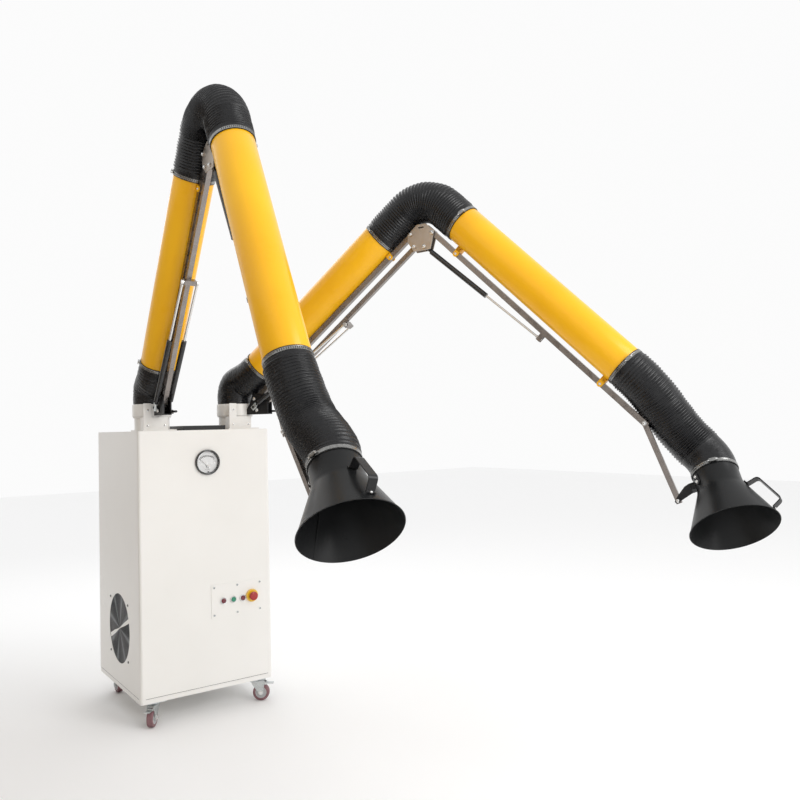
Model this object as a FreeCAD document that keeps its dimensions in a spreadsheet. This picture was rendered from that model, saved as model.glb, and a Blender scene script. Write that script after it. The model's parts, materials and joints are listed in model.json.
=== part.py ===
import FreeCAD, Part
import math
import os
import Sketcher
from types import SimpleNamespace

# Mobile welding fume extractor with two extraction arms.
# Millimetres. Origin on the floor under the middle of the cabinet, Z up, front towards -Y.

driving = {
    # Cabinet
    "cabinet_wide": 615,
    "cabinet_deep": 636,
    "shell_tall": 1143,
    "lip_tall": 22,
    "caster_tall": 103,
    "sheet_thick": 1.5,
    "corner_radius": 12,
    "seat_gap": 0.3,
    "cut_overrun": 5,
    # Chassis
    "pan_thick": 3,
    "pan_rim_tall": 50,
    "post_side": 30,
    "post_thick": 2,
    "deck_level": 540,
    "deck_thick": 3,
    # Rear door and its hinges
    "door_thick": 18,
    "door_margin": 20,
    "door_skin": 1.5,
    "door_low": 150,
    "door_tall": 1080,
    "doorway_inset": 40,
    "hinge_radius": 6,
    "hinge_pin_radius": 3,
    "hinge_tall": 60,
    "hinge_offset": 10,
    "hinge_inset": 120,
    "door_pull_long": 140,
    "door_pull_reach": 38,
    "door_pull_radius": 6,
    "door_pull_inset": 60,
    "door_pull_level": 700,
    # Filter cartridges
    "cartridge_spacing": 280,
    "cartridge_radius": 118,
    "cartridge_bore_radius": 72,
    "cartridge_tall": 520,
    "cartridge_cap_thick": 14,
    "pleat_deep": 22,
    "outlet_radius": 70,
    # Fan
    "plenum_wide": 480,
    "plenum_deep": 300,
    "plenum_tall": 130,
    "plenum_thick": 2,
    "inlet_radius": 105,
    "inlet_bell_tall": 24,
    "impeller_radius": 165,
    "impeller_level": 278,
    "impeller_tall": 104,
    "impeller_plate_thick": 2,
    "impeller_eye_radius": 112,
    "impeller_hub_radius": 28,
    "blade_thick": 2,
    "motor_radius": 88,
    "motor_tall": 156,
    "motor_foot_radius": 110,
    "motor_foot_thick": 8,
    "shaft_radius": 12,
    "shaft_gap": 0.05,
    # Exhaust opening on the left side
    "exhaust_radius": 156,
    "exhaust_y": -15.5,
    "exhaust_level": 373,
    "grille_side": 330,
    "grille_thick": 1.5,
    "grille_hole_radius": 6,
    "grille_hole_pitch": 20,
    "exhaust_screw_span_y": 267,
    "exhaust_screw_span_z": 249.5,
    # Screws
    "screw_radius": 2.4,
    "screw_hole_radius": 2.5,
    "screw_head_radius": 5,
    "screw_head_tall": 2.6,
    "screw_long": 8,
    # Pressure gauge
    "gauge_x": 3,
    "gauge_level": 1122,
    "gauge_radius": 57,
    "gauge_bezel_out": 12,
    "gauge_body_radius": 50,
    "gauge_body_deep": 36,
    "gauge_wall": 1.5,
    "gauge_glass_thick": 2,
    "gauge_stud_radius": 1.5,
    "gauge_pivot_drop": 20,
    "needle_long": 52,
    "needle_tail": 10,
    "needle_thick": 1,
    "needle_hub_radius": 4,
    "needle_rest_angle": -135,
    # Control plate and its buttons
    "plate_x": 137.2,
    "plate_level": 493.5,
    "plate_wide": 250,
    "plate_tall": 150,
    "plate_thick": 2,
    "plate_screw_span_x": 222.5,
    "plate_screw_span_z": 123,
    "button_level": 492.5,
    "lamp_x": 69,
    "start_x": 117,
    "stop_x": 163,
    "emergency_x": 208,
    "button_radius": 11,
    "button_out": 9,
    "button_bezel_radius": 15,
    "button_bezel_out": 6,
    "button_travel": 3,
    "button_stem_radius": 5,
    "button_gap": 0.3,
    "emergency_ring_radius": 29,
    "emergency_ring_out": 7,
    "emergency_cap_radius": 20,
    "emergency_cap_thick": 12,
    "emergency_neck_radius": 11,
    "emergency_travel": 4,
    "emergency_out": 30,
    "switch_side": 30,
    "switch_deep": 46,
    # Tray on the cabinet top
    "tray_wide": 200,
    "tray_deep": 300,
    "tray_tall": 20,
    "tray_thick": 2,
    "tray_front": 300,
    # Casters
    "caster_x": 236,
    "front_caster_y": 278,
    "rear_caster_y": 258,
    "caster_plate_side": 76,
    "caster_plate_thick": 3,
    "race_radius": 22,
    "race_tall": 8,
    "kingpin_radius": 5,
    "crown_gap": 0.3,
    "crown_thick": 4,
    "crown_radius": 24,
    "fork_inner_half": 15,
    "fork_thick": 3,
    "fork_arm_wide": 30,
    "caster_trail": 30,
    "wheel_radius": 38.5,
    "wheel_wide": 26,
    "wheel_hub_wide": 29,
    "wheel_hub_radius": 12,
    "wheel_shoulder": 4,
    "axle_radius": 4,
    "axle_gap": 0.05,
    "axle_head_radius": 8,
    "axle_head_tall": 5,
    "left_caster_turn": 52,
    "right_caster_turn": 145,
    "pedal_long": 34,
    "pedal_wide": 22,
    "pedal_thick": 4,
    "pedal_pin_radius": 2.5,
    "pedal_pin_behind": 24,
    "pedal_pin_above": 2,
    # Arm bases
    "arm_spacing": 400,
    "arm_y": -182,
    "duct_radius": 76,
    "duct_wall": 3,
    "duct_rise": 122,
    "duct_drop": 30,
    "duct_hole_gap": 0.5,
    "flange_left": 70,
    "flange_right": 82,
    "flange_front": 88,
    "flange_back": 84,
    "flange_thick": 6,
    "box_left": 66,
    "box_right": 42,
    "box_front": 88,
    "box_tall": 60,
    "box_wall": 3,
    "cheek_right": 31,
    "collar_radius": 82,
    "collar_tall": 4,
    # Swivel bracket
    "ring_radius": 82,
    "ring_tall": 20,
    "ring_gap": 0.3,
    "cheek_inner_half": 14,
    "cheek_thick": 4,
    "bracket_reach": 203,
    "bracket_low": 68,
    "shoulder_out": 128,
    "shoulder_up": 142,
    "spring_foot_out": 6,
    "spring_foot_down": 40,
    "tension_lever_long": 62,
    "tension_lever_radius": 5,
    # Bars and pins
    "bar_side": 22,
    "bar_wall": 1.5,
    "bar_end": 14,
    "parallel_end": 10.5,
    "bush_radius": 10,
    "pin_radius": 6,
    "pin_gap": 0.05,
    "pin_head_radius": 9,
    "pin_head_tall": 4,
    "parallel_out": 15,
    "parallel_down": 54,
    "parallel_side": 20,
    # Lower arm
    "lower_bar_long": 1070,
    "lower_tube_up": 96,
    "lower_tube_start": 94,
    "lower_tube_long": 887,
    "lower_lug_inset": 146,
    "lower_lug_outset": 45,
    "tube_radius": 80,
    "tube_wall": 1,
    "lug_long": 24,
    "lug_cheek": 5,
    "lug_under": 3,
    # Elbow
    "elbow_out": 100.5,
    "elbow_down": 3,
    "upper_spring_foot_out": 62,
    "upper_spring_foot_down": 59,
    # Upper arm
    "upper_bar_long": 1118,
    "upper_tube_up": 109,
    "upper_tube_start": 55,
    "upper_tube_long": 949,
    "upper_lug_inset": 90,
    "upper_lug_outset": 46,
    "upper_bar_tail": 20,
    "fishplate_long": 63,
    "fishplate_thick": 4,
    "fishplate_lap": 50,
    "wrist_pin_radius": 5,
    "wrist_bar_long": 308,
    "wrist_bar_side": 20,
    "fishplate_gap": 0.3,
    # Gas springs
    "spring_radius": 11,
    "spring_wall": 1.5,
    "spring_neck": 34,
    "spring_neck_radius": 6,
    "spring_eye_radius": 9,
    "spring_eye_wide": 8,
    "spring_rod_radius": 5,
    "lower_spring_side": 31,
    "lower_spring_body": 300,
    "lower_spring_head_at": 625,
    "lower_spring_head_down": 80,
    "upper_spring_body": 320,
    "upper_spring_head_at": 657,
    "upper_spring_head_down": 30,
    "piston_thick": 12,
    "rod_in_body": 120,
    "spring_guide_thick": 14,
    "spring_ear_thick": 4,
    # Hoses
    "hose_gap": 0.3,
    "hose_wall": 1.6,
    "hose_rib_rise": 2.4,
    "hose_rib_pitch": 10,
    "hose_cuff": 30,
    "lower_hose_handle": 110,
    "elbow_hose_bend": 140,
    "wrist_hose_handle": 140,
    "clamp_wide": 12,
    "clamp_thick": 0.9,
    "clamp_inset": 9,
    # Yoke and hood
    "yoke_out": 154,
    "yoke_up": 27,
    "yoke_ear_radius": 13,
    "yoke_thick": 4,
    "yoke_plate_half": 18,
    "yoke_plate_thick": 6,
    "hood_pad_out": 58,
    "hood_pad_half": 14,
    "roll_pin_radius": 6,
    "roll_pin_head_radius": 10,
    "roll_pin_head_tall": 7,
    "hood_wall": 1.5,
    "hood_neck_up": 20,
    "hood_neck_hidden": 34,
    "hood_neck_down": 40,
    "hood_long": 221,
    "hood_mouth_radius": 151,
    "hood_lip": 3,
    "handle_rise": 44,
    "handle_thick": 4,
    "handle_wide": 28,
    "handle_top": 56,
    "handle_bottom": 172,
}

# Pose in which the arms stand, degrees.
standing = {
    "left_heading": 89.6,
    "left_lower": 58.62,
    "left_upper": -64.38,
    "left_wrist": -51.2,
    "left_hood_tilt": 39.7,
    "left_hood_roll": -10.2,
    "right_heading": 61.06,
    "right_lower": 39.19,
    "right_upper": -44.55,
    "right_wrist": -68.9,
    "right_hood_tilt": 19.7,
    "right_hood_roll": -32.9,
}

doc = FreeCAD.newDocument("FumeExtractor")
sheet = doc.addObject("Spreadsheet::Sheet", "Sizes")


class Size:
    # A length with its number and the formula over the sheet's cells that gives it.
    def __init__(self, number, formula):
        self.number = float(number)
        self.formula = formula

    def __float__(self):
        return self.number

    def __add__(self, other):
        return Size(self.number + float(other), f"({self.formula} + {formula_of(other)})")

    def __radd__(self, other):
        return Size(float(other) + self.number, f"({formula_of(other)} + {self.formula})")

    def __sub__(self, other):
        return Size(self.number - float(other), f"({self.formula} - {formula_of(other)})")

    def __rsub__(self, other):
        return Size(float(other) - self.number, f"({formula_of(other)} - {self.formula})")

    def __mul__(self, other):
        return Size(self.number * float(other), f"({self.formula} * {formula_of(other)})")

    __rmul__ = __mul__

    def __truediv__(self, other):
        return Size(self.number / float(other), f"({self.formula} / {formula_of(other)})")

    def __neg__(self):
        return Size(-self.number, f"(0 - {self.formula})")


def formula_of(value):
    return value.formula if isinstance(value, Size) else repr(float(value))


size = SimpleNamespace()
for row, (alias, value) in enumerate({**driving, **standing}.items(), 1):
    sheet.set(f"A{row}", alias)
    sheet.set(f"B{row}", str(value))
    sheet.setAlias(f"B{row}", alias)
    setattr(size, alias, Size(value, f"Sizes.{alias}"))

X_AXIS = FreeCAD.Vector(1, 0, 0)
Y_AXIS = FreeCAD.Vector(0, 1, 0)
Z_AXIS = FreeCAD.Vector(0, 0, 1)
turn_to = {
    "z": FreeCAD.Rotation(),
    "-z": FreeCAD.Rotation(X_AXIS, 180),
    "x": FreeCAD.Rotation(Y_AXIS, 90),
    "-x": FreeCAD.Rotation(Y_AXIS, -90),
    "y": FreeCAD.Rotation(X_AXIS, -90),
    "-y": FreeCAD.Rotation(X_AXIS, 90),
}
nodes = []


def vector(x, y, z):
    return FreeCAD.Vector(float(x), float(y), float(z))


def bind(thing, part_property, value):
    if isinstance(value, Size):
        thing.setExpression(part_property, value.formula)
    else:
        setattr(thing, part_property, value)


def place(thing, at, along="z"):
    thing.Placement = FreeCAD.Placement(vector(*at), turn_to[along])
    for letter, value in zip("xyz", at):
        if isinstance(value, Size):
            thing.setExpression(f"Placement.Base.{letter}", value.formula)


def block(low, span):
    box = doc.addObject("Part::Box", "Block")
    for side, value in zip(("Length", "Width", "Height"), span):
        bind(box, side, value)
    place(box, low)
    return box


def rod(at, radius, length, along="z"):
    cylinder = doc.addObject("Part::Cylinder", "Rod")
    bind(cylinder, "Radius", radius)
    bind(cylinder, "Height", length)
    place(cylinder, at, along)
    return cylinder


def cone(at, low_radius, high_radius, length, along="z"):
    taper = doc.addObject("Part::Cone", "Taper")
    bind(taper, "Radius1", low_radius)
    bind(taper, "Radius2", high_radius)
    bind(taper, "Height", length)
    place(taper, at, along)
    return taper


def join(*pieces, name="Joined"):
    fused = doc.addObject("Part::MultiFuse", name)
    fused.Shapes = list(pieces)
    fused.Refine = False
    return fused


def cut(base, *tools, name="Cut"):
    taken = doc.addObject("Part::Cut", name)
    taken.Base = base
    taken.Tool = tools[0] if len(tools) == 1 else join(*tools)
    taken.Refine = False
    return taken


def gather(*pieces, name):
    loose = doc.addObject("Part::Compound", name)
    loose.Links = list(pieces)
    return loose


def made(shape, name="Made"):
    feature = doc.addObject("Part::Feature", name)
    feature.Shape = shape
    return feature


def pipe(at, outer, inner, length, along="z"):
    return cut(rod(at, outer, length, along), rod(at, inner, length, along))


def rounded_block(low, span, radius):
    # A block whose four upright edges are rounded.
    x, y, z = low
    wide, deep, tall = span
    solids = [block((x + radius, y, z), (wide - 2 * radius, deep, tall)),
              block((x, y + radius, z), (wide, deep - 2 * radius, tall))]
    for corner_x in (x + radius, x + wide - radius):
        for corner_y in (y + radius, y + deep - radius):
            solids.append(rod((corner_x, corner_y, z), radius, tall))
    return join(*solids)


def plate(name, outline, thick, lateral, holes=()):
    # A flat plate in the X-Z plane, sketched from its corners and padded along +Y from lateral.
    body = doc.addObject("PartDesign::Body", name)
    sketch = body.newObject("Sketcher::SketchObject", "Outline")
    upright = [plane for plane in body.Origin.OriginFeatures if plane.Role == "XZ_Plane"][0]
    sketch.AttachmentSupport = [(upright, "")]
    sketch.MapMode = "FlatFace"
    if isinstance(lateral, Size):
        sketch.setExpression("AttachmentOffset.Base.z", (-lateral).formula)
    corners = [vector(x, z, 0) for x, z in outline]
    for index, corner in enumerate(corners):
        sketch.addGeometry(Part.LineSegment(corner, corners[(index + 1) % len(corners)]))
    for index in range(len(corners)):
        sketch.addConstraint(Sketcher.Constraint("Coincident", index, 2, (index + 1) % len(corners), 1))

    def pin_down(geometry, point, place_x, place_z):
        for kind, value in (("DistanceX", place_x), ("DistanceY", place_z)):
            number = sketch.addConstraint(Sketcher.Constraint(kind, -1, 1, geometry, point, float(value)))
            if isinstance(value, Size):
                sketch.setExpression(f"Constraints[{number}]", value.formula)

    for index, (x, z) in enumerate(outline):
        pin_down(index, 1, x, z)
    for x, z, radius in holes:
        circle = sketch.addGeometry(Part.Circle(vector(x, z, 0), Z_AXIS, float(radius)))
        pin_down(circle, 3, x, z)
        number = sketch.addConstraint(Sketcher.Constraint("Radius", circle, float(radius)))
        sketch.setExpression(f"Constraints[{number}]", formula_of(radius))
    pad = body.newObject("PartDesign::Pad", "Pad")
    pad.Profile = sketch
    pad.Reversed = True
    bind(pad, "Length", thick)
    body.Tip = pad
    return body


def node(name, thing, placement=None):
    thing.Label = name
    if placement is not None:
        thing.Placement = placement
    nodes.append(thing)
    return thing


# Levels and faces that several pieces share.
half_wide = size.cabinet_wide / 2
half_deep = size.cabinet_deep / 2
pan_level = size.caster_tall
shell_level = size.caster_tall + size.lip_tall
top_level = shell_level + size.shell_tall
inner_half_wide = half_wide - size.sheet_thick - size.seat_gap
inner_half_deep = half_deep - size.sheet_thick - size.seat_gap
inner_top = top_level - size.sheet_thick
front = -half_deep
run = size.cut_overrun
housing_x = {"left": -size.arm_spacing / 2, "right": size.arm_spacing / 2}
emergency_level = size.button_level + size.screw_head_radius


def across(half):
    # Start and span of something centred on zero.
    return -half, 2 * half


def build_chassis():
    low_x, wide = across(inner_half_wide)
    low_y, deep = across(inner_half_deep)
    inner_radius = size.corner_radius - size.sheet_thick
    pan = cut(rounded_block((low_x, low_y, pan_level), (wide, deep, size.pan_rim_tall), inner_radius),
              rounded_block((low_x + size.post_thick, low_y + size.post_thick, pan_level + size.pan_thick),
                            (wide - 2 * size.post_thick, deep - 2 * size.post_thick,
                             size.pan_rim_tall), inner_radius - size.post_thick))
    post_tall = inner_top - pan_level - size.pan_thick
    posts = []
    for side_x in (-1, 1):
        for side_y in (-1, 1):
            edge_x = inner_half_wide - inner_radius
            edge_y = inner_half_deep - inner_radius
            near_x = -edge_x if side_x < 0 else edge_x - size.post_side
            near_y = -edge_y if side_y < 0 else edge_y - size.post_side
            wall_x = -inner_half_wide if side_x < 0 else inner_half_wide - size.post_thick
            wall_y = -inner_half_deep if side_y < 0 else inner_half_deep - size.post_thick
            floor = pan_level + size.pan_thick
            wing_x = block((near_x, wall_y, floor), (size.post_side, size.post_thick, post_tall))
            wing_y = block((wall_x, near_y, floor), (size.post_thick, size.post_side, post_tall))
            posts += [wing_x, wing_y]
    deck = cut(rounded_block((low_x, low_y, size.deck_level), (wide, deep, size.deck_thick), inner_radius),
               *[rod((side * size.cartridge_spacing / 2, 0, size.deck_level - run),
                     size.outlet_radius, size.deck_thick + 2 * run) for side in (-1, 1)])
    node("chassis", join(pan, deck, *posts, name="chassis"))


def build_shell():
    outer = rounded_block((-half_wide, -half_deep, shell_level),
                          (size.cabinet_wide, size.cabinet_deep, size.shell_tall), size.corner_radius)
    cavity = rounded_block((-half_wide + size.sheet_thick, -half_deep + size.sheet_thick, shell_level - run),
                           (size.cabinet_wide - 2 * size.sheet_thick, size.cabinet_deep - 2 * size.sheet_thick,
                            size.shell_tall - size.sheet_thick + run), size.corner_radius - size.sheet_thick)
    openings = [cavity]
    for side in ("left", "right"):
        openings.append(rod((housing_x[side], size.arm_y, top_level - 2 * run),
                            size.duct_radius + size.duct_hole_gap, 4 * run))
    openings.append(rod((-half_wide - run, size.exhaust_y, size.exhaust_level), size.exhaust_radius,
                        3 * run, "x"))
    for y, z in exhaust_screws():
        openings.append(rod((-half_wide - run, y, z), size.screw_hole_radius, 3 * run, "x"))
    openings.append(rod((size.gauge_x, front - run, size.gauge_level),
                        size.gauge_body_radius + size.duct_hole_gap, 3 * run, "y"))
    margin = size.door_margin
    openings.append(block((size.plate_x - size.plate_wide / 2 + margin, front - run,
                           size.plate_level - size.plate_tall / 2 + margin),
                          (size.plate_wide - 2 * margin, 3 * run, size.plate_tall - 2 * margin)))
    for x, z in plate_screws():
        openings.append(rod((x, front - run, z), size.screw_hole_radius, 3 * run, "y"))
    openings.append(block((-half_wide + size.doorway_inset, half_deep - 3 * run,
                           size.door_low + size.doorway_inset),
                          (size.cabinet_wide - 2 * size.doorway_inset, 6 * run,
                           size.door_tall - 2 * size.doorway_inset)))
    node("cabinet_shell", cut(outer, *openings, name="cabinet_shell"))


def exhaust_screws():
    return [(size.exhaust_y + side_y * size.exhaust_screw_span_y / 2,
             size.exhaust_level + side_z * size.exhaust_screw_span_z / 2)
            for side_y in (-1, 1) for side_z in (-1, 1)]


def plate_screws():
    return [(size.plate_x + side_x * size.plate_screw_span_x / 2,
             size.plate_level + side_z * size.plate_screw_span_z / 2)
            for side_x in (-1, 0, 1) for side_z in (-1, 1)]


hinge_x = half_wide - size.hinge_offset
hinge_y = half_deep + size.hinge_offset
door_right = hinge_x - size.hinge_radius - size.hinge_pin_radius
door_left = -half_wide + size.hinge_offset
door_face = half_deep + size.seat_gap
hinge_levels = [size.door_low + size.hinge_inset,
                size.door_low + size.door_tall - size.hinge_inset - size.hinge_tall]


def build_door():
    wide = door_right - door_left
    skin = size.door_skin
    tray = cut(block((door_left, door_face, size.door_low), (wide, size.door_thick, size.door_tall)),
               block((door_left + skin, door_face - run, size.door_low + skin),
                     (wide - 2 * skin, size.door_thick + run - skin, size.door_tall - 2 * skin)))
    hinges = []
    for level in hinge_levels:
        third = size.hinge_tall / 3
        leaf = block((door_right - skin, hinge_y - skin, level + third + size.seat_gap),
                     (hinge_x - door_right + skin, 2 * skin, third - 2 * size.seat_gap))
        barrel = rod((hinge_x, hinge_y, level + third + size.seat_gap), size.hinge_radius,
                     third - 2 * size.seat_gap)
        hinges.append(cut(join(leaf, barrel),
                          rod((hinge_x, hinge_y, level - run), size.hinge_pin_radius + size.pin_gap,
                              size.hinge_tall + 2 * run)))
    pull_x = door_left + size.door_pull_inset
    outside = door_face + size.door_thick
    reach = size.door_pull_reach
    pull_low = size.door_pull_level - size.door_pull_long / 2
    pull = join(rod((pull_x, outside - skin / 2, pull_low), size.door_pull_radius, reach, "y"),
                rod((pull_x, outside - skin / 2, pull_low + size.door_pull_long), size.door_pull_radius,
                    reach, "y"),
                rod((pull_x, outside - skin / 2 + reach, pull_low - 2 * size.door_pull_radius),
                    size.door_pull_radius + skin, size.door_pull_long + 4 * size.door_pull_radius))
    node("rear_door", join(tray, *hinges, pull, name="rear_door"))


def hinge_fixed_parts():
    third = size.hinge_tall / 3
    solids = []
    for level in hinge_levels:
        knuckles = [rod((hinge_x, hinge_y, level), size.hinge_pin_radius, size.hinge_tall)]
        for low in (level, level + 2 * third):
            knuckles.append(rod((hinge_x, hinge_y, low), size.hinge_radius, third))
            knuckles.append(block((hinge_x - size.hinge_pin_radius, half_deep, low),
                                  (2 * size.hinge_pin_radius, size.hinge_offset, third)))
        solids.append(join(*knuckles))
    return solids


def build_cartridges():
    pleat_count = 48
    level = size.deck_level + size.deck_thick
    cap = size.cartridge_cap_thick
    cartridges = []
    for side in (-1, 1):
        x = side * size.cartridge_spacing / 2
        star = []
        for index in range(2 * pleat_count):
            radius = float(size.cartridge_radius) - (index % 2) * float(size.pleat_deep)
            angle = math.pi * index / pleat_count
            star.append(vector(radius * math.cos(angle), radius * math.sin(angle), 0))
        pleats = Part.Face(Part.makePolygon(star + star[:1]))
        media = made(pleats.extrude(vector(0, 0, size.cartridge_tall - 2 * cap)))
        place(media, (x, 0, level + cap))
        lower_cap = rod((x, 0, level), size.cartridge_radius + size.seat_gap, cap)
        upper_cap = rod((x, 0, level + size.cartridge_tall - cap), size.cartridge_radius + size.seat_gap, cap)
        bore = rod((x, 0, level - run), size.cartridge_bore_radius, size.cartridge_tall - cap + run)
        cartridges.append(cut(join(media, lower_cap, upper_cap), bore))
    node("filter_cartridges", gather(*cartridges, name="filter_cartridges"))


plenum_floor = size.deck_level - size.plenum_tall


def build_fan():
    thick = size.plenum_thick
    low_x, wide = across(size.plenum_wide / 2)
    low_y, deep = across(size.plenum_deep / 2)
    plenum = cut(block((low_x, low_y, plenum_floor), (wide, deep, size.plenum_tall)),
                 block((low_x + thick, low_y + thick, plenum_floor + thick),
                       (wide - 2 * thick, deep - 2 * thick, size.plenum_tall)))
    bell_low = plenum_floor - size.inlet_bell_tall
    housing = cut(join(plenum, rod((0, 0, bell_low), size.inlet_radius, size.inlet_bell_tall + thick)),
                  rod((0, 0, bell_low - run), size.inlet_radius - thick,
                      size.inlet_bell_tall + thick + 2 * run))
    housing.Label = "fan_housing"
    nodes.append(housing)

    floor = pan_level + size.pan_thick
    shaft_long = size.impeller_level + size.impeller_tall / 2 - floor
    motor = join(rod((0, 0, floor), size.motor_radius, size.motor_tall),
                 rod((0, 0, floor), size.motor_foot_radius, size.motor_foot_thick),
                 rod((0, 0, floor), size.shaft_radius, shaft_long), name="fan_motor")
    node("fan_motor", motor)

    blade_count = 9
    plate_thick = size.impeller_plate_thick
    blade_low = float(size.impeller_level + plate_thick / 2)
    blade_tall = float(size.impeller_tall - plate_thick)
    blade_root_share = 0.94
    blade_curve_shares = ((0, 0), (0.5, 0.32), (1, 0.52))
    inner = float(size.impeller_eye_radius) * blade_root_share
    outer = float(size.impeller_radius) - float(plate_thick)
    half_blade = float(size.blade_thick) / 2
    blades = []
    for index in range(blade_count):
        turn = 2 * math.pi * index / blade_count
        spots = []
        for share, lean in blade_curve_shares:
            radius = inner + (outer - inner) * share
            spots.append((radius, turn - lean))
        edges = []
        sides = [[vector((r + s) * math.cos(a), (r + s) * math.sin(a), blade_low) for r, a in spots]
                 for s in (half_blade, -half_blade)]
        edges.append(Part.Arc(*sides[0]).toShape())
        edges.append(Part.LineSegment(sides[0][2], sides[1][2]).toShape())
        edges.append(Part.Arc(*reversed(sides[1])).toShape())
        edges.append(Part.LineSegment(sides[1][0], sides[0][0]).toShape())
        blades.append(made(Part.Face(Part.Wire(edges)).extrude(vector(0, 0, blade_tall))))
    hub_tall = size.impeller_tall / 2
    wheel = join(rod((0, 0, size.impeller_level), size.impeller_radius, plate_thick),
                 rod((0, 0, size.impeller_level), size.impeller_hub_radius, hub_tall),
                 cut(rod((0, 0, size.impeller_level + size.impeller_tall - plate_thick),
                         size.impeller_radius, plate_thick),
                     rod((0, 0, size.impeller_level), size.impeller_eye_radius, size.impeller_tall + run)),
                 *blades)
    node("fan_impeller", cut(wheel, rod((0, 0, size.impeller_level - run), size.shaft_radius + size.shaft_gap,
                                        hub_tall + 2 * run), name="fan_impeller"))


def build_grille():
    x = float(-half_wide + size.sheet_thick)
    half = float(size.grille_side) / 2
    y0, z0 = float(size.exhaust_y), float(size.exhaust_level)
    corners = [vector(x, y0 + y, z0 + z)
               for y, z in ((-half, -half), (half, -half), (half, half), (-half, half))]
    wires = [Part.makePolygon(corners + corners[:1])]
    pitch = float(size.grille_hole_pitch)
    reach = float(size.exhaust_radius - size.grille_hole_radius)
    rows = int(reach / (pitch * math.sin(math.pi / 3)))
    for row in range(-rows, rows + 1):
        z = row * pitch * math.sin(math.pi / 3)
        columns = int(reach / pitch) + 1
        for column in range(-columns, columns + 1):
            y = (column + (row % 2) / 2) * pitch
            if math.hypot(y, z) < reach:
                hole = Part.makeCircle(float(size.grille_hole_radius), vector(x, y0 + y, z0 + z), X_AXIS)
                wires.append(Part.Wire([hole]))
    for y, z in exhaust_screws():
        wires.append(Part.Wire([Part.makeCircle(float(size.screw_hole_radius), vector(x, y, z), X_AXIS)]))
    face = Part.Face(wires)
    face.validate()
    node("exhaust_grille", made(face.extrude(vector(size.grille_thick, 0, 0)), "exhaust_grille"))


gauge_face = front - size.gauge_bezel_out + size.gauge_glass_thick
dial_face = front + size.sheet_thick


def build_gauge():
    x, z = size.gauge_x, size.gauge_level
    pivot_z = z - size.gauge_pivot_drop
    wall = size.gauge_wall
    bezel = rod((x, front - size.gauge_bezel_out, z), size.gauge_radius, size.gauge_bezel_out, "y")
    body = rod((x, front - run, z), size.gauge_body_radius, size.gauge_body_deep + run, "y")
    hollow = rod((x, front - size.gauge_bezel_out - run, z), size.gauge_body_radius - wall,
                 size.gauge_bezel_out + run + size.gauge_body_deep - wall, "y")
    seat = rod((x, front - size.gauge_bezel_out - run, z), size.gauge_body_radius + wall,
               run + wall + size.gauge_glass_thick, "y")
    case = cut(join(bezel, body), hollow, seat)
    stud_tall = dial_face - gauge_face - size.gauge_glass_thick - size.needle_thick
    dial = join(rod((x, dial_face, z), size.gauge_body_radius - wall - size.seat_gap, wall, "y"),
                rod((x, dial_face - stud_tall, pivot_z), size.gauge_stud_radius, stud_tall, "y"))
    spacer = rod((x, dial_face + wall, pivot_z), size.needle_hub_radius,
                 size.gauge_body_deep - 2 * wall - (dial_face - front), "y")
    glass = rod((x, front - size.gauge_bezel_out + wall, z), size.gauge_body_radius + wall - size.seat_gap,
                size.gauge_glass_thick, "y")
    node("pressure_gauge", gather(case, join(dial, spacer), glass, name="pressure_gauge"))

    thick = size.needle_thick
    level = dial_face - 2 * size.gauge_wall - thick
    hub = rod((0, level, 0), size.needle_hub_radius, thick, "y")
    pointer = block((-size.needle_tail, level, -thick / 2), (size.needle_tail + size.needle_long, thick, thick))
    bore = rod((0, level - run, 0), size.gauge_stud_radius + size.pin_gap, thick + 2 * run, "y")
    needle = cut(join(hub, pointer), bore, name="gauge_needle")
    node("gauge_needle", needle, FreeCAD.Placement(
        vector(x, 0, pivot_z), FreeCAD.Rotation(Y_AXIS, float(size.needle_rest_angle))))


plate_face = front - size.plate_thick


def push_button(name, x, z, cap_radius, out, cap_thick, neck_radius, neck_long):
    # A cap on a neck, with a stem that slides in its switch behind the panel.
    cap_front = plate_face - out
    stem_long = front + size.switch_deep / 2 - cap_front
    return join(rod((x, cap_front, z), cap_radius, cap_thick, "y"),
                rod((x, cap_front, z), neck_radius, neck_long, "y"),
                rod((x, cap_front, z), size.button_stem_radius, stem_long, "y"), name=name)


def build_controls():
    holes = []
    for x, z in ((size.lamp_x, size.button_level), (size.start_x, size.button_level),
                 (size.stop_x, size.button_level), (size.emergency_x, emergency_level)):
        holes.append(rod((x, plate_face - run, z), size.button_radius + 2 * size.button_gap, 3 * run, "y"))
    for x, z in plate_screws():
        holes.append(rod((x, plate_face - run, z), size.screw_hole_radius, 3 * run, "y"))
    sheet_metal = block((size.plate_x - size.plate_wide / 2, plate_face, size.plate_level - size.plate_tall / 2),
                        (size.plate_wide, size.plate_thick, size.plate_tall))
    node("control_plate", cut(sheet_metal, *holes, name="control_plate"))

    cap_thick = size.button_out + size.plate_thick - size.button_travel - size.button_gap
    for name, x in (("start_button", size.start_x), ("stop_button", size.stop_x)):
        node(name, push_button(name, x, size.button_level, size.button_radius, size.button_out,
                               cap_thick, size.button_stem_radius, cap_thick))
    node("emergency_stop_button", push_button(
        "emergency_stop_button", size.emergency_x, emergency_level, size.emergency_cap_radius,
        size.emergency_out, size.emergency_cap_thick, size.emergency_neck_radius,
        size.emergency_out - size.emergency_travel))


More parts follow.
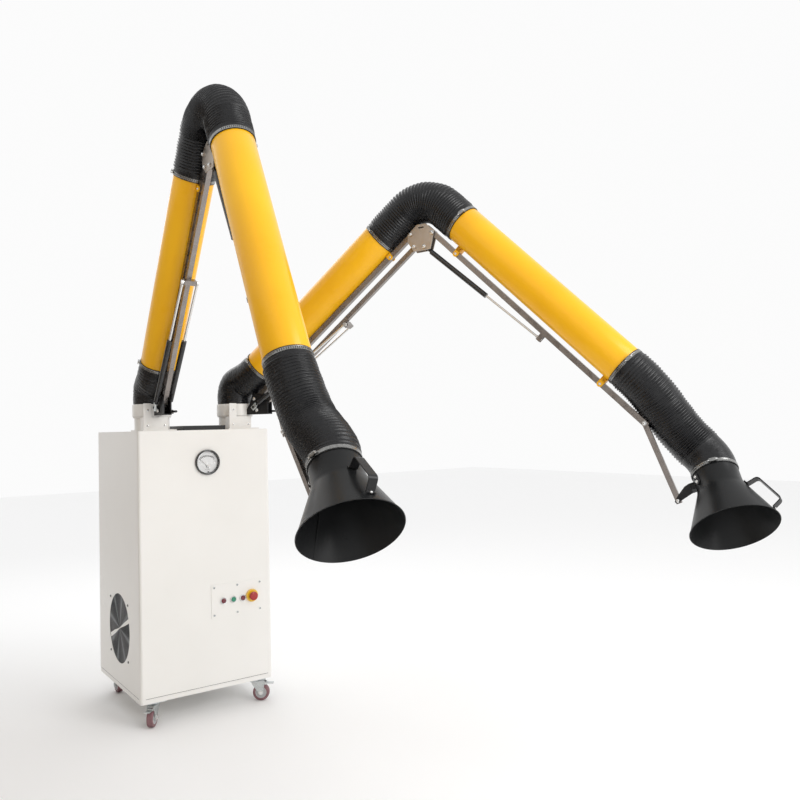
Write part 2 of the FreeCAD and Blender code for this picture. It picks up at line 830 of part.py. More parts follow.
def build_hardware():
    pieces = hinge_fixed_parts()
    for x, z in plate_screws():
        pieces.append(join(rod((x, plate_face - size.screw_head_tall, z), size.screw_head_radius,
                               size.screw_head_tall, "y"),
                           rod((x, plate_face - size.screw_head_tall, z), size.screw_radius,
                               size.screw_long, "y")))
    for y, z in exhaust_screws():
        pieces.append(join(rod((-half_wide - size.screw_head_tall, y, z), size.screw_head_radius,
                               size.screw_head_tall, "x"),
                           rod((-half_wide - size.screw_head_tall, y, z), size.screw_radius,
                               size.screw_long, "x")))
    gap = size.button_gap
    for x in (size.start_x, size.stop_x):
        pieces.append(pipe((x, plate_face - size.button_bezel_out, size.button_level),
                           size.button_bezel_radius, size.button_radius + gap, size.button_bezel_out, "y"))
    pieces.append(pipe((size.emergency_x, plate_face - size.emergency_ring_out, emergency_level),
                       size.emergency_ring_radius, size.emergency_neck_radius + gap,
                       size.emergency_ring_out, "y"))
    lamp = join(rod((size.lamp_x, plate_face - size.button_bezel_out, size.button_level),
                    size.button_bezel_radius, size.button_bezel_out, "y"),
                rod((size.lamp_x, plate_face - size.button_bezel_out, size.button_level),
                    size.button_radius, size.button_bezel_out + size.plate_thick, "y"))
    pieces.append(lamp)
    side = size.switch_side
    for x, z in ((size.lamp_x, size.button_level), (size.start_x, size.button_level),
                 (size.stop_x, size.button_level), (size.emergency_x, emergency_level)):
        switch = block((x - side / 2, front, z - side / 2), (side, size.switch_deep, side))
        pieces.append(cut(switch, rod((x, front - run, z), size.button_stem_radius + size.pin_gap,
                                      run + size.switch_deep / 2 + size.emergency_travel + size.button_gap,
                                      "y")))
    node("cabinet_hardware", gather(*pieces, name="cabinet_hardware"))


def build_tray():
    thick = size.tray_thick
    low_x, wide = across(size.tray_wide / 2)
    node("parts_tray", cut(
        block((low_x, -size.tray_front, top_level), (wide, size.tray_deep, size.tray_tall)),
        block((low_x + thick, -size.tray_front + thick, top_level + thick),
              (wide - 2 * thick, size.tray_deep - 2 * thick, size.tray_tall)), name="parts_tray"))


axle_level = size.wheel_radius
plate_low = size.caster_tall - size.caster_plate_thick
race_low = plate_low - size.race_tall
crown_top = race_low - size.crown_gap
crown_low = crown_top - size.crown_thick


def fork_solids(trail, head_level):
    # Crown, two cheeks and the axle of one caster; its rolling direction is X.
    inner, thick = size.fork_inner_half, size.fork_thick
    wide = size.fork_arm_wide
    solids = []
    for side in (-1, 1):
        low_y = inner if side == 1 else -(inner + thick)
        solids.append(block((-trail - wide / 2, low_y, axle_level - wide / 3),
                            (trail + wide, thick, head_level - axle_level + wide / 3)))
    axle_half = inner + thick + size.axle_head_tall
    solids.append(rod((-trail, -axle_half, axle_level), size.axle_radius, 2 * axle_half, "y"))
    for at in (-axle_half, inner + thick):
        solids.append(rod((-trail, at, axle_level), size.axle_head_radius, size.axle_head_tall, "y"))
    return solids


def build_casters():
    plates = []
    for side_x in (-1, 1):
        half = size.caster_plate_side / 2
        x, y = side_x * size.caster_x, -size.front_caster_y
        king_low = crown_low - size.seat_gap - size.crown_thick
        plates.append(join(block((x - half, y - half, plate_low),
                                 (2 * half, 2 * half, size.caster_plate_thick)),
                           rod((x, y, race_low), size.race_radius, size.race_tall),
                           rod((x, y, king_low), size.kingpin_radius, plate_low - king_low),
                           rod((x, y, king_low), size.kingpin_radius + size.crown_thick / 2,
                               size.crown_thick)))
        y = size.rear_caster_y
        low = block((-half, -half, plate_low), (2 * half, 2 * half, size.caster_plate_thick))
        solids = fork_solids(0, plate_low)
        rigid = join(low, *solids)
        rigid.Placement = FreeCAD.Placement(vector(x, y, 0), FreeCAD.Rotation(Z_AXIS, 90))
        plates.append(rigid)
    node("caster_mounts", gather(*plates, name="caster_mounts"))

    for name, side_x, turn in (("front_left", -1, size.left_caster_turn),
                               ("front_right", 1, size.right_caster_turn)):
        crown = rod((0, 0, crown_low), size.crown_radius, size.crown_thick)
        bridge = block((-size.crown_radius, -size.fork_inner_half - size.fork_thick, crown_low),
                       (2 * size.crown_radius, 2 * (size.fork_inner_half + size.fork_thick), size.crown_thick))
        pedal_pin = rod((pedal_x, -size.fork_inner_half - size.fork_thick, pedal_level), size.pedal_pin_radius,
                        2 * (size.fork_inner_half + size.fork_thick), "y")
        ear_low = pedal_level - 2 * size.pedal_pin_radius
        ear_back = pedal_x - 2 * size.pedal_pin_radius
        ears = [block((ear_back, start, ear_low), (-ear_back, size.fork_thick, crown_top - ear_low))
                for start in (size.fork_inner_half, -size.fork_inner_half - size.fork_thick)]
        fork = cut(join(crown, bridge, pedal_pin, *ears, *fork_solids(size.caster_trail, crown_top)),
                   rod((0, 0, crown_low - run), size.kingpin_radius + size.pin_gap, size.crown_thick + 2 * run))
        at = FreeCAD.Placement(vector(side_x * size.caster_x, -size.front_caster_y, 0),
                               FreeCAD.Rotation(Z_AXIS, float(turn)))
        fork.Label = name + "_fork"
        fork.Placement = at
        nodes.append(fork)
        node(name + "_wheel", build_wheel(name + "_wheel", -size.caster_trail), at)
        node(name + "_pedal", build_pedal(name + "_pedal"), at)
    for name, side_x in (("rear_left", -1), ("rear_right", 1)):
        node(name + "_wheel", build_wheel(name + "_wheel", 0), FreeCAD.Placement(
            vector(side_x * size.caster_x, size.rear_caster_y, 0), FreeCAD.Rotation(Z_AXIS, 90)))


def build_wheel(name, x):
    half, hub_half = size.wheel_wide / 2, size.wheel_hub_wide / 2
    shoulder = size.wheel_shoulder
    tread = join(cone((x, -half, axle_level), size.wheel_radius - shoulder, size.wheel_radius, shoulder, "y"),
                 rod((x, -half + shoulder, axle_level), size.wheel_radius, 2 * (half - shoulder), "y"),
                 cone((x, half - shoulder, axle_level), size.wheel_radius, size.wheel_radius - shoulder,
                      shoulder, "y"),
                 rod((x, -hub_half, axle_level), size.wheel_hub_radius, 2 * hub_half, "y"))
    return cut(tread, rod((x, -hub_half - run, axle_level), size.axle_radius + size.axle_gap,
                          2 * (hub_half + run), "y"), name=name)


pedal_x = -size.caster_trail - size.pedal_pin_behind
pedal_level = 2 * size.wheel_radius + size.pedal_pin_above


def build_pedal(name):
    # The brake tread behind the wheel, hinged on a pin between the fork cheeks.
    half = size.pedal_wide / 2
    eye = rod((pedal_x, -half, pedal_level), 2 * size.pedal_pin_radius, 2 * half, "y")
    tread = block((pedal_x - size.pedal_long, -half, pedal_level - size.pedal_thick / 2),
                  (size.pedal_long, 2 * half, size.pedal_thick))
    return cut(join(eye, tread), rod((pedal_x, -half - run, pedal_level),
                                     size.pedal_pin_radius + size.pin_gap, 2 * (half + run), "y"), name=name)


ring_low = size.box_tall + size.collar_tall + size.seat_gap


def build_base_housings():
    housings = []
    for side in ("left", "right"):
        low_x, wide = -size.flange_left, size.flange_left + size.flange_right
        flat = size.flange_thick
        flange = block((low_x, -size.flange_front, 0), (wide, size.flange_front + size.flange_back,
                                                        size.flange_thick))
        box_wide = size.box_left + size.box_right
        wall = size.box_wall
        box = cut(block((-size.box_left, -size.box_front, flat / 2),
                        (box_wide, size.box_front, size.box_tall - flat / 2)),
                  block((-size.box_left + wall, -size.box_front + wall, size.flange_thick),
                        (box_wide - 2 * wall, size.box_front, size.box_tall - size.flange_thick - wall)))
        cheek = block((-size.box_left, -size.box_front, size.box_tall - wall),
                      (size.box_left - size.cheek_right, wall, size.duct_rise - size.box_tall + wall))
        panels = cut(join(flange, box, cheek), rod((0, 0, -run), size.duct_radius - size.duct_wall / 2,
                                                   size.duct_rise + 2 * run))
        duct = pipe((0, 0, -size.duct_drop), size.duct_radius, size.duct_radius - size.duct_wall,
                    size.duct_drop + size.duct_rise)
        collar = pipe((0, 0, size.box_tall - wall / 2), size.collar_radius,
                      size.duct_radius - size.duct_wall / 2, size.collar_tall + wall / 2)
        housing = join(panels, duct, collar)
        housing.Placement = FreeCAD.Placement(vector(housing_x[side], size.arm_y, top_level),
                                              FreeCAD.Rotation())
        housings.append(housing)
    node("arm_base_housings", gather(*housings, name="arm_base_housings"))


def build_swivel_bracket(side, frame):
    inner, thick = size.cheek_inner_half, size.cheek_thick
    out, up = size.shoulder_out, size.shoulder_up
    reach, low = size.bracket_reach, size.bracket_low
    back = size.duct_radius + size.ring_gap + size.seat_gap
    ring_top = ring_low + size.ring_tall
    crest = up + size.bush_radius + size.cheek_inner_half
    outline = [(back, low), (reach, low), (reach, up - size.cheek_inner_half),
               (out + 2 * size.parallel_out, crest), (out - size.bush_radius, crest),
               (out - 2 * size.parallel_out, up - 2 * size.cheek_inner_half), (back, ring_top)]
    cheeks = [plate(f"{side}BracketCheek", outline, thick, inner),
              plate(f"{side}BracketCheek", outline, thick, -inner - thick)]
    ring = rod((0, 0, ring_low), size.ring_radius, size.ring_tall)
    floor = block((back, -inner, low), (reach - back, 2 * inner, thick))
    half = inner + thick
    pins = []
    for x, z in ((out, up), (out + size.parallel_out, up - size.parallel_down)):
        pins.append(rod((x, -half - size.pin_head_tall, z), size.pin_radius,
                        2 * (half + size.pin_head_tall), "y"))
        for start in (-half - size.pin_head_tall, half):
            pins.append(rod((x, start, z), size.pin_head_radius, size.pin_head_tall, "y"))
    spring_half = size.lower_spring_side + size.spring_eye_wide / 2 + size.pin_head_tall
    foot_x, foot_z = out + size.spring_foot_out, up - size.spring_foot_down
    for start in (-spring_half, half):
        pins.append(rod((foot_x, start, foot_z), size.pin_radius, spring_half - half, "y"))
    lever_x, lever_z = reach - 2 * size.parallel_out, low + size.cheek_inner_half
    lever = join(rod((lever_x, half, lever_z), size.pin_head_radius, size.spring_neck / 2, "y"),
                 rod((lever_x, half + size.spring_neck / 4, lever_z),
                     size.tension_lever_radius, size.tension_lever_long, "x"))
    solid = cut(join(ring, floor, *cheeks, *pins, lever),
                rod((0, 0, ring_low - run), size.duct_radius + size.ring_gap, size.ring_tall + 2 * run),
                name=f"{side}_swivel_bracket")
    node(f"{side}_swivel_bracket", solid, frame)


def square_bar(start, end, side, wall, bores, bore_radius, extras=(), taken=(), name="Bar"):
    # A square tube along X with a bush across it at each pivot.
    half = side / 2
    shell = cut(block((start, -half, -half), (end - start, side, side)),
                block((start - run, -half + wall, -half + wall),
                      (end - start + 2 * run, side - 2 * wall, side - 2 * wall)))
    bushes = [rod((x, -half, 0), bore_radius + 2 * wall, side, "y") for x in bores]
    holes = [rod((x, -half - run, 0), bore_radius, side + 2 * run, "y") for x in bores]
    return cut(join(shell, *bushes, *extras), *holes, *taken, name=name)


def arm_tube(name, start, length, up, lug_margins, frame):
    # A round tube carried above a bar by saddles that hold the bar between two cheeks.
    half = size.bar_side / 2
    lugs = []
    for x in (start + lug_margins[0], start + length - lug_margins[1]):
        wide = size.bar_side + 2 * size.lug_cheek
        tall = up - size.tube_radius + half + size.lug_under + run
        lugs.append(cut(block((x - size.lug_long / 2, -wide / 2, -half - size.lug_under),
                              (size.lug_long, wide, tall)),
                        block((x - size.lug_long / 2 - run, -half, -half - size.lug_under - run),
                              (size.lug_long + 2 * run, size.bar_side, size.bar_side + size.lug_under + run))))
    tube = rod((start, 0, up), size.tube_radius, length, "x")
    solid = cut(join(tube, *lugs), rod((start - run, 0, up), size.tube_radius - size.tube_wall,
                                       length + 2 * run, "x"), name=name)
    node(name, solid, frame)


def spring_body(length, lateral):
    # Cylinder of a gas spring along X from its pivot, with its end fitting.
    eye_half = size.spring_eye_wide / 2
    neck = size.spring_neck
    inner = size.spring_radius - size.spring_wall
    solids = join(rod((0, lateral - eye_half, 0), size.spring_eye_radius, size.spring_eye_wide, "y"),
                  rod((size.pin_radius + size.pin_gap, lateral, 0), size.spring_neck_radius, neck, "x"),
                  rod((neck, lateral, 0), size.spring_radius, length, "x"))
    return cut(solids,
               rod((0, lateral - eye_half - run, 0), size.pin_radius + size.pin_gap,
                   size.spring_eye_wide + 2 * run, "y"),
               rod((neck + size.spring_guide_thick, lateral, 0), inner,
                   length - 2 * size.spring_guide_thick, "x"),
               rod((neck + size.spring_guide_thick, lateral, 0), size.spring_rod_radius + size.pin_gap,
                   length, "x"))


def spring_rod(body_long, reach, lateral):
    # Piston, rod and head of a gas spring along X, its head at reach.
    start = size.spring_neck + size.spring_guide_thick + size.rod_in_body
    eye_half = size.spring_eye_wide / 2
    inner = size.spring_radius - size.spring_wall - size.pin_gap
    return join(rod((start, lateral, 0), inner, size.piston_thick, "x"),
                rod((start, lateral, 0), size.spring_rod_radius, reach - size.spring_eye_radius - start, "x"),
                rod((reach - 2 * size.spring_eye_radius, lateral, 0), eye_half,
                    2 * size.spring_eye_radius, "x"),
                rod((reach - 2 * size.spring_eye_radius, lateral, 0), size.spring_neck_radius,
                    size.spring_eye_radius, "x"),
                rod((reach, lateral - eye_half, 0), size.spring_eye_radius, size.spring_eye_wide, "y"))


def frame_at(parent, x, z, degrees):
    # A frame at X, Z of its parent, whose X axis is raised by degrees.
    return parent.multiply(FreeCAD.Placement(vector(x, 0, z), FreeCAD.Rotation(Y_AXIS, -float(degrees))))


def spring_frame(base, target):
    # The frame at base whose X axis points at target; both are given in the arm's own plane.
    across_x, across_z = target[0] - base[0], target[1] - base[1]
    return math.degrees(math.atan2(across_z, across_x)), math.hypot(across_x, across_z)


def turned_point(origin, degrees, x, z):
    angle = math.radians(float(degrees))
    x, z = float(x), float(z)
    return (float(origin[0]) + x * math.cos(angle) - z * math.sin(angle),
            float(origin[1]) + x * math.sin(angle) + z * math.cos(angle))


def build_elbow_plates(side, frame):
    inner, thick = size.cheek_inner_half, size.cheek_thick
    half = inner + thick
    out, down = size.elbow_out, size.elbow_down
    foot_x, foot_z = size.upper_spring_foot_out, -size.upper_spring_foot_down
    low = -size.parallel_down - size.bar_side
    margin = size.bar_side / 2
    crest_start_share, crest_end_share, crest_tall_share, heel_share = 0.3, 0.72, 0.4, 0.63
    crest = size.lower_tube_up * crest_tall_share
    outline = [(-inner, 0), (out * crest_start_share, crest), (out * crest_end_share, crest),
               (out + margin, down), (foot_x + 2 * inner, low + thick),
               (size.parallel_out, low), (-inner, -size.parallel_down * heel_share)]
    cheeks = [plate(f"{side}ElbowCheek", outline, thick, inner),
              plate(f"{side}ElbowCheek", outline, thick, -half)]
    pins = []
    for x, z in ((0, 0), (size.parallel_out, -size.parallel_down), (out, -down), (foot_x, foot_z)):
        pins.append(rod((x, -half - size.pin_head_tall, z), size.pin_radius,
                        2 * (half + size.pin_head_tall), "y"))
        for start in (-half - size.pin_head_tall, half):
            pins.append(rod((x, start, z), size.pin_head_radius, size.pin_head_tall, "y"))
    slot_start_share, slot_end_share = 0.4, 0.6
    slot_level = size.lower_tube_up / 4
    slot = join(*[rod((out * share, -half - run, slot_level), size.pin_radius / 2, 2 * (half + run), "y")
                  for share in (slot_start_share, slot_end_share)],
                block((out * slot_start_share, -half - run, slot_level - size.pin_radius / 2),
                      (out * (slot_end_share - slot_start_share), 2 * (half + run), size.pin_radius)))
    node(f"{side}_elbow_plates", cut(join(*cheeks, *pins), slot, name=f"{side}_elbow_plates"), frame)


def ring_wire(centre, tangent, steady, radius):
    # A circle square to the path, its start point kept towards the steady direction.
    ahead = FreeCAD.Vector(tangent).normalize()
    sideways = steady - ahead * steady.dot(ahead)
    sideways.normalize()
    upward = ahead.cross(sideways)
    matrix = FreeCAD.Matrix(sideways.x, upward.x, ahead.x, centre.x,
                            sideways.y, upward.y, ahead.y, centre.y,
                            sideways.z, upward.z, ahead.z, centre.z, 0, 0, 0, 1)
    circle = Part.makeCircle(radius)
    circle.Placement = FreeCAD.Placement(matrix)
    return Part.Wire([circle])


class Path:
    # Edges end to end, with the point and direction at any length along them.
    def __init__(self, edges):
        self.edges = edges
        self.length = sum(edge.Length for edge in edges)

    def at(self, length):
        for edge in self.edges:
            if length <= edge.Length or edge is self.edges[-1]:
                parameter = edge.getParameterByLength(min(length, edge.Length))
                return edge.valueAt(parameter), edge.tangentAt(parameter)
            length -= edge.Length


def straight(start, end):
    return Part.LineSegment(start, end).toShape()


def curved_path(start, start_way, end, end_way, handle, first_cuff, last_cuff):
    # A straight cuff, a smooth curve and a straight cuff.
    curve = Part.BezierCurve()
    curve.setPoles([start, start + start_way * handle, end - end_way * handle, end])
    return Path([straight(start - start_way * first_cuff, start), curve.toShape(),
                 straight(end, end + end_way * last_cuff)])


def bent_path(start, start_way, end, end_way, bend, cuff):
    # Two straight runs joined by one arc; both ways lie in one plane with the two ends.
    between = end - start
    turn = start_way.getAngle(end_way)
    cross = start_way.cross(end_way)
    first = between.cross(end_way).dot(cross) / cross.dot(cross)
    corner = start + start_way * first
    set_back = bend * math.tan(turn / 2)
    arc_start = corner - start_way * set_back
    arc_end = corner + end_way * set_back
    inward = (end_way - start_way).normalize()
    arc_middle = corner + inward * (bend / math.cos(turn / 2) - bend)
    return Path([straight(start - start_way * cuff, arc_start),
                 Part.Arc(arc_start, arc_middle, arc_end).toShape(),
                 straight(arc_end, end + end_way * cuff)])


def hose_solid(path, steady, first_bore, last_bore, cuff_first, cuff_last):
    # A ribbed hose with plain cuffs; each rib is a ruled loft through four circles.
    wall, rise = float(size.hose_wall), float(size.hose_rib_rise)
    cuff_first, cuff_last = float(cuff_first), float(cuff_last)
    ribbed = path.length - cuff_first - cuff_last
    count = max(1, round(ribbed / float(size.hose_rib_pitch)))
    pitch = ribbed / count

    def bore_at(length):
        share = min(1, max(0, (length - cuff_first) / ribbed))
        return float(first_bore) + (float(last_bore) - float(first_bore)) * share

    rib_shares = ((0, 0), (0.3, 1), (0.55, 1), (0.85, 0))
    outer_spots = [(0, wall)]
    inner_spots = [0]
    for index in range(count):
        low = cuff_first + index * pitch
        inner_spots.append(low)
        outer_spots += [(low + pitch * share, wall + rise * height) for share, height in rib_shares]
    outer_spots += [(path.length - cuff_last, wall), (path.length, wall)]
    inner_spots += [path.length - cuff_last, path.length]
    outer = [ring_wire(*path.at(length), steady, bore_at(length) + extra) for length, extra in outer_spots]
    inner = [ring_wire(*path.at(length), steady, bore_at(length)) for length in inner_spots]
    skins = [Part.makeLoft(outer, False, True), Part.makeLoft(inner, False, True)]
    ends = [Part.Face(outer[index]).cut(Part.Face(inner[index])) for index in (0, -1)]
    sewn = Part.makeCompound([face for skin in skins + ends for face in skin.Faces])
    sewn.sewShape()
    solid = Part.Solid(sewn.Shells[0])
    if solid.Volume < 0:
        solid.reverse()
    return solid


def hose_clamp(path, length, steady, radius):
    # A worm clamp band with its screw box, round the hose at this length.
    centre, way = path.at(length)
    half = float(size.clamp_wide) / 2
    inner = float(radius + size.hose_wall + size.clamp_thick / 3)
    outer = inner + float(size.clamp_thick)
    low = centre - way * half
    band = Part.makeCylinder(outer, 2 * half, low, way).cut(Part.makeCylinder(inner, 2 * half, low, way))
    sideways = steady - way * steady.dot(way)
    sideways.normalize()
    box = Part.makeCylinder(half, float(size.screw_head_radius) * 4,
                            centre + sideways * (outer + half - float(size.clamp_thick))
                            - sideways.cross(way) * float(size.screw_head_radius) * 2, sideways.cross(way))
    return band.fuse(box)


def build_hoses(side, arm, lower, upper, yoke, hood):
    duct_cuff_share = 0.8
    steady = arm.Rotation.multVec(Y_AXIS)
    gap, cuff = size.hose_gap, float(size.hose_cuff)
    duct_cuff = cuff * duct_cuff_share
    tube_bore, duct_bore = size.tube_radius + gap, size.duct_radius + gap
    hood_bore = size.tube_radius + gap
    inset = float(size.clamp_inset)

    def way(frame, x, z):
        return frame.Rotation.multVec(vector(x, 0, z))

    def spot(frame, x, z):
        return frame.multVec(vector(x, 0, z))

    routes = {
        "lower_hose": (curved_path(
            spot(arm, 0, size.duct_rise), way(arm, 0, 1),
            spot(lower, size.lower_tube_start, size.lower_tube_up), way(lower, 1, 0),
            float(size.lower_hose_handle), duct_cuff, cuff), duct_bore, tube_bore, duct_cuff),
        "elbow_hose": (bent_path(
            spot(lower, size.lower_tube_start + size.lower_tube_long, size.lower_tube_up), way(lower, 1, 0),
            spot(upper, size.upper_tube_start, size.upper_tube_up), way(upper, 1, 0),
            float(size.elbow_hose_bend), cuff), tube_bore, tube_bore, cuff),
        "wrist_hose": (curved_path(
            spot(upper, size.upper_tube_start + size.upper_tube_long, size.upper_tube_up), way(upper, 1, 0),
            spot(hood, 0, size.hood_neck_up + size.hood_neck_hidden), way(hood, 0, -1),
            float(size.wrist_hose_handle), cuff, cuff), tube_bore, hood_bore, cuff),
    }
    for name, (path, first_bore, last_bore, first_cuff) in routes.items():
        solids = [hose_solid(path, steady, first_bore, last_bore, first_cuff, cuff)]
        solids.append(hose_clamp(path, inset, steady, first_bore))
        solids.append(hose_clamp(path, path.length - inset, steady, last_bore))
        node(f"{side}_{name}", made(Part.makeCompound(solids), f"{side}_{name}"))


def build_yoke(side, frame):
    inner, thick = size.wrist_bar_side / 2 + size.fishplate_gap, size.yoke_thick
    half = inner + thick
    plate_half = size.yoke_plate_half
    plate_x = size.hood_pad_out - size.fishplate_gap - size.yoke_plate_thick
    ear = size.yoke_ear_radius
    up = size.yoke_up
    corner_share = 0.7
    outline = [(-ear * corner_share, -ear * corner_share), (plate_x + thick, up - plate_half),
               (plate_x + thick, up + plate_half),
               (plate_x - ear, up + plate_half - thick), (0, ear), (-ear, 0)]
    straps = [plate(f"{side}YokeStrap", outline, thick, start) for start in (inner, -half)]
    face = cut(block((plate_x, -plate_half, up - plate_half),
                     (size.yoke_plate_thick, 2 * plate_half, 2 * plate_half)),
               rod((plate_x - run, 0, up), size.roll_pin_radius + size.pin_gap,
                   size.yoke_plate_thick + 2 * run, "x"))
    pin = rod((0, -half - size.pin_head_tall, 0), size.wrist_pin_radius, 2 * (half + size.pin_head_tall), "y")
    heads = [rod((0, start, 0), size.pin_head_radius, size.pin_head_tall, "y")
             for start in (-half - size.pin_head_tall, half)]
    node(f"{side}_hood_yoke", join(face, pin, *heads, *straps, name=f"{side}_hood_yoke"), frame)


def strap_solid(points, thick, wide):
    # A flat strap bent through points in the X-Z plane, wide along Y.
    half = thick / 2
    pieces = []
    for first, last in zip(points, points[1:]):
        way = last - first
        side = Y_AXIS.cross(way).normalize() * half
        corners = [first + side, last + side, last - side, first - side]
        pieces.append(Part.Face(Part.makePolygon(corners + corners[:1])))
    pieces = [face.translated(vector(0, -wide / 2, 0)).extrude(vector(0, wide, 0)) for face in pieces]
    for corner in points[1:-1]:
        pieces.append(Part.makeCylinder(half, wide, corner - vector(0, wide / 2, 0), Y_AXIS))
    return pieces[0].multiFuse(pieces[1:])


def build_hood(side, frame):
    wall = size.hood_wall
    neck_top = size.hood_neck_up + size.hood_neck_hidden
    neck_low = -size.hood_neck_down
    mouth = size.hood_neck_up - size.hood_long
    cone_long = neck_low - mouth
    radius, wide = size.tube_radius, size.hood_mouth_radius
    pad_x = size.hood_pad_out - size.yoke_out
    pad_half = size.hood_pad_half
    outer = join(rod((0, 0, neck_low), radius, neck_top - neck_low),
                 cone((0, 0, mouth), wide, radius, cone_long),
                 rod((0, 0, mouth), wide + size.hood_lip, size.hood_lip),
                 block((pad_x, -pad_half, -pad_half), (-radius - pad_x + run, 2 * pad_half, 2 * pad_half)))
    inner = join(rod((0, 0, neck_low - wall), radius - wall, neck_top - neck_low + wall + run),
                 cone((0, 0, mouth), wide - wall, radius - wall, cone_long),
                 rod((0, 0, mouth - run), wide - wall, run))
    inside_plate = size.yoke_plate_thick + 2 * size.fishplate_gap
    pin = rod((pad_x - inside_plate, 0, 0), size.roll_pin_radius, inside_plate, "x")
    head = rod((pad_x - inside_plate - size.roll_pin_head_tall, 0, 0), size.roll_pin_head_radius,
               size.roll_pin_head_tall, "x")

    strap_sink_share = 0.6
    slope = math.atan2(float(wide - radius), float(cone_long))
    outward = vector(math.cos(slope), 0, math.sin(slope))
    points = []
    for down in (size.handle_top, size.handle_bottom):
        level = -float(down)
        share = (float(neck_low) - level) / float(cone_long)
        surface = vector(float(radius) + float(wide - radius) * share, 0, level)
        points.append(surface - outward * float(wall) * strap_sink_share)
        points.append(surface + outward * float(size.handle_rise))
    handle_points = [points[0], points[1], points[3], points[2]]
    handle = made(strap_solid(handle_points, float(size.handle_thick), float(size.handle_wide)))
    node(f"{side}_hood", join(cut(outer, inner), pin, head, handle, name=f"{side}_hood"), frame)


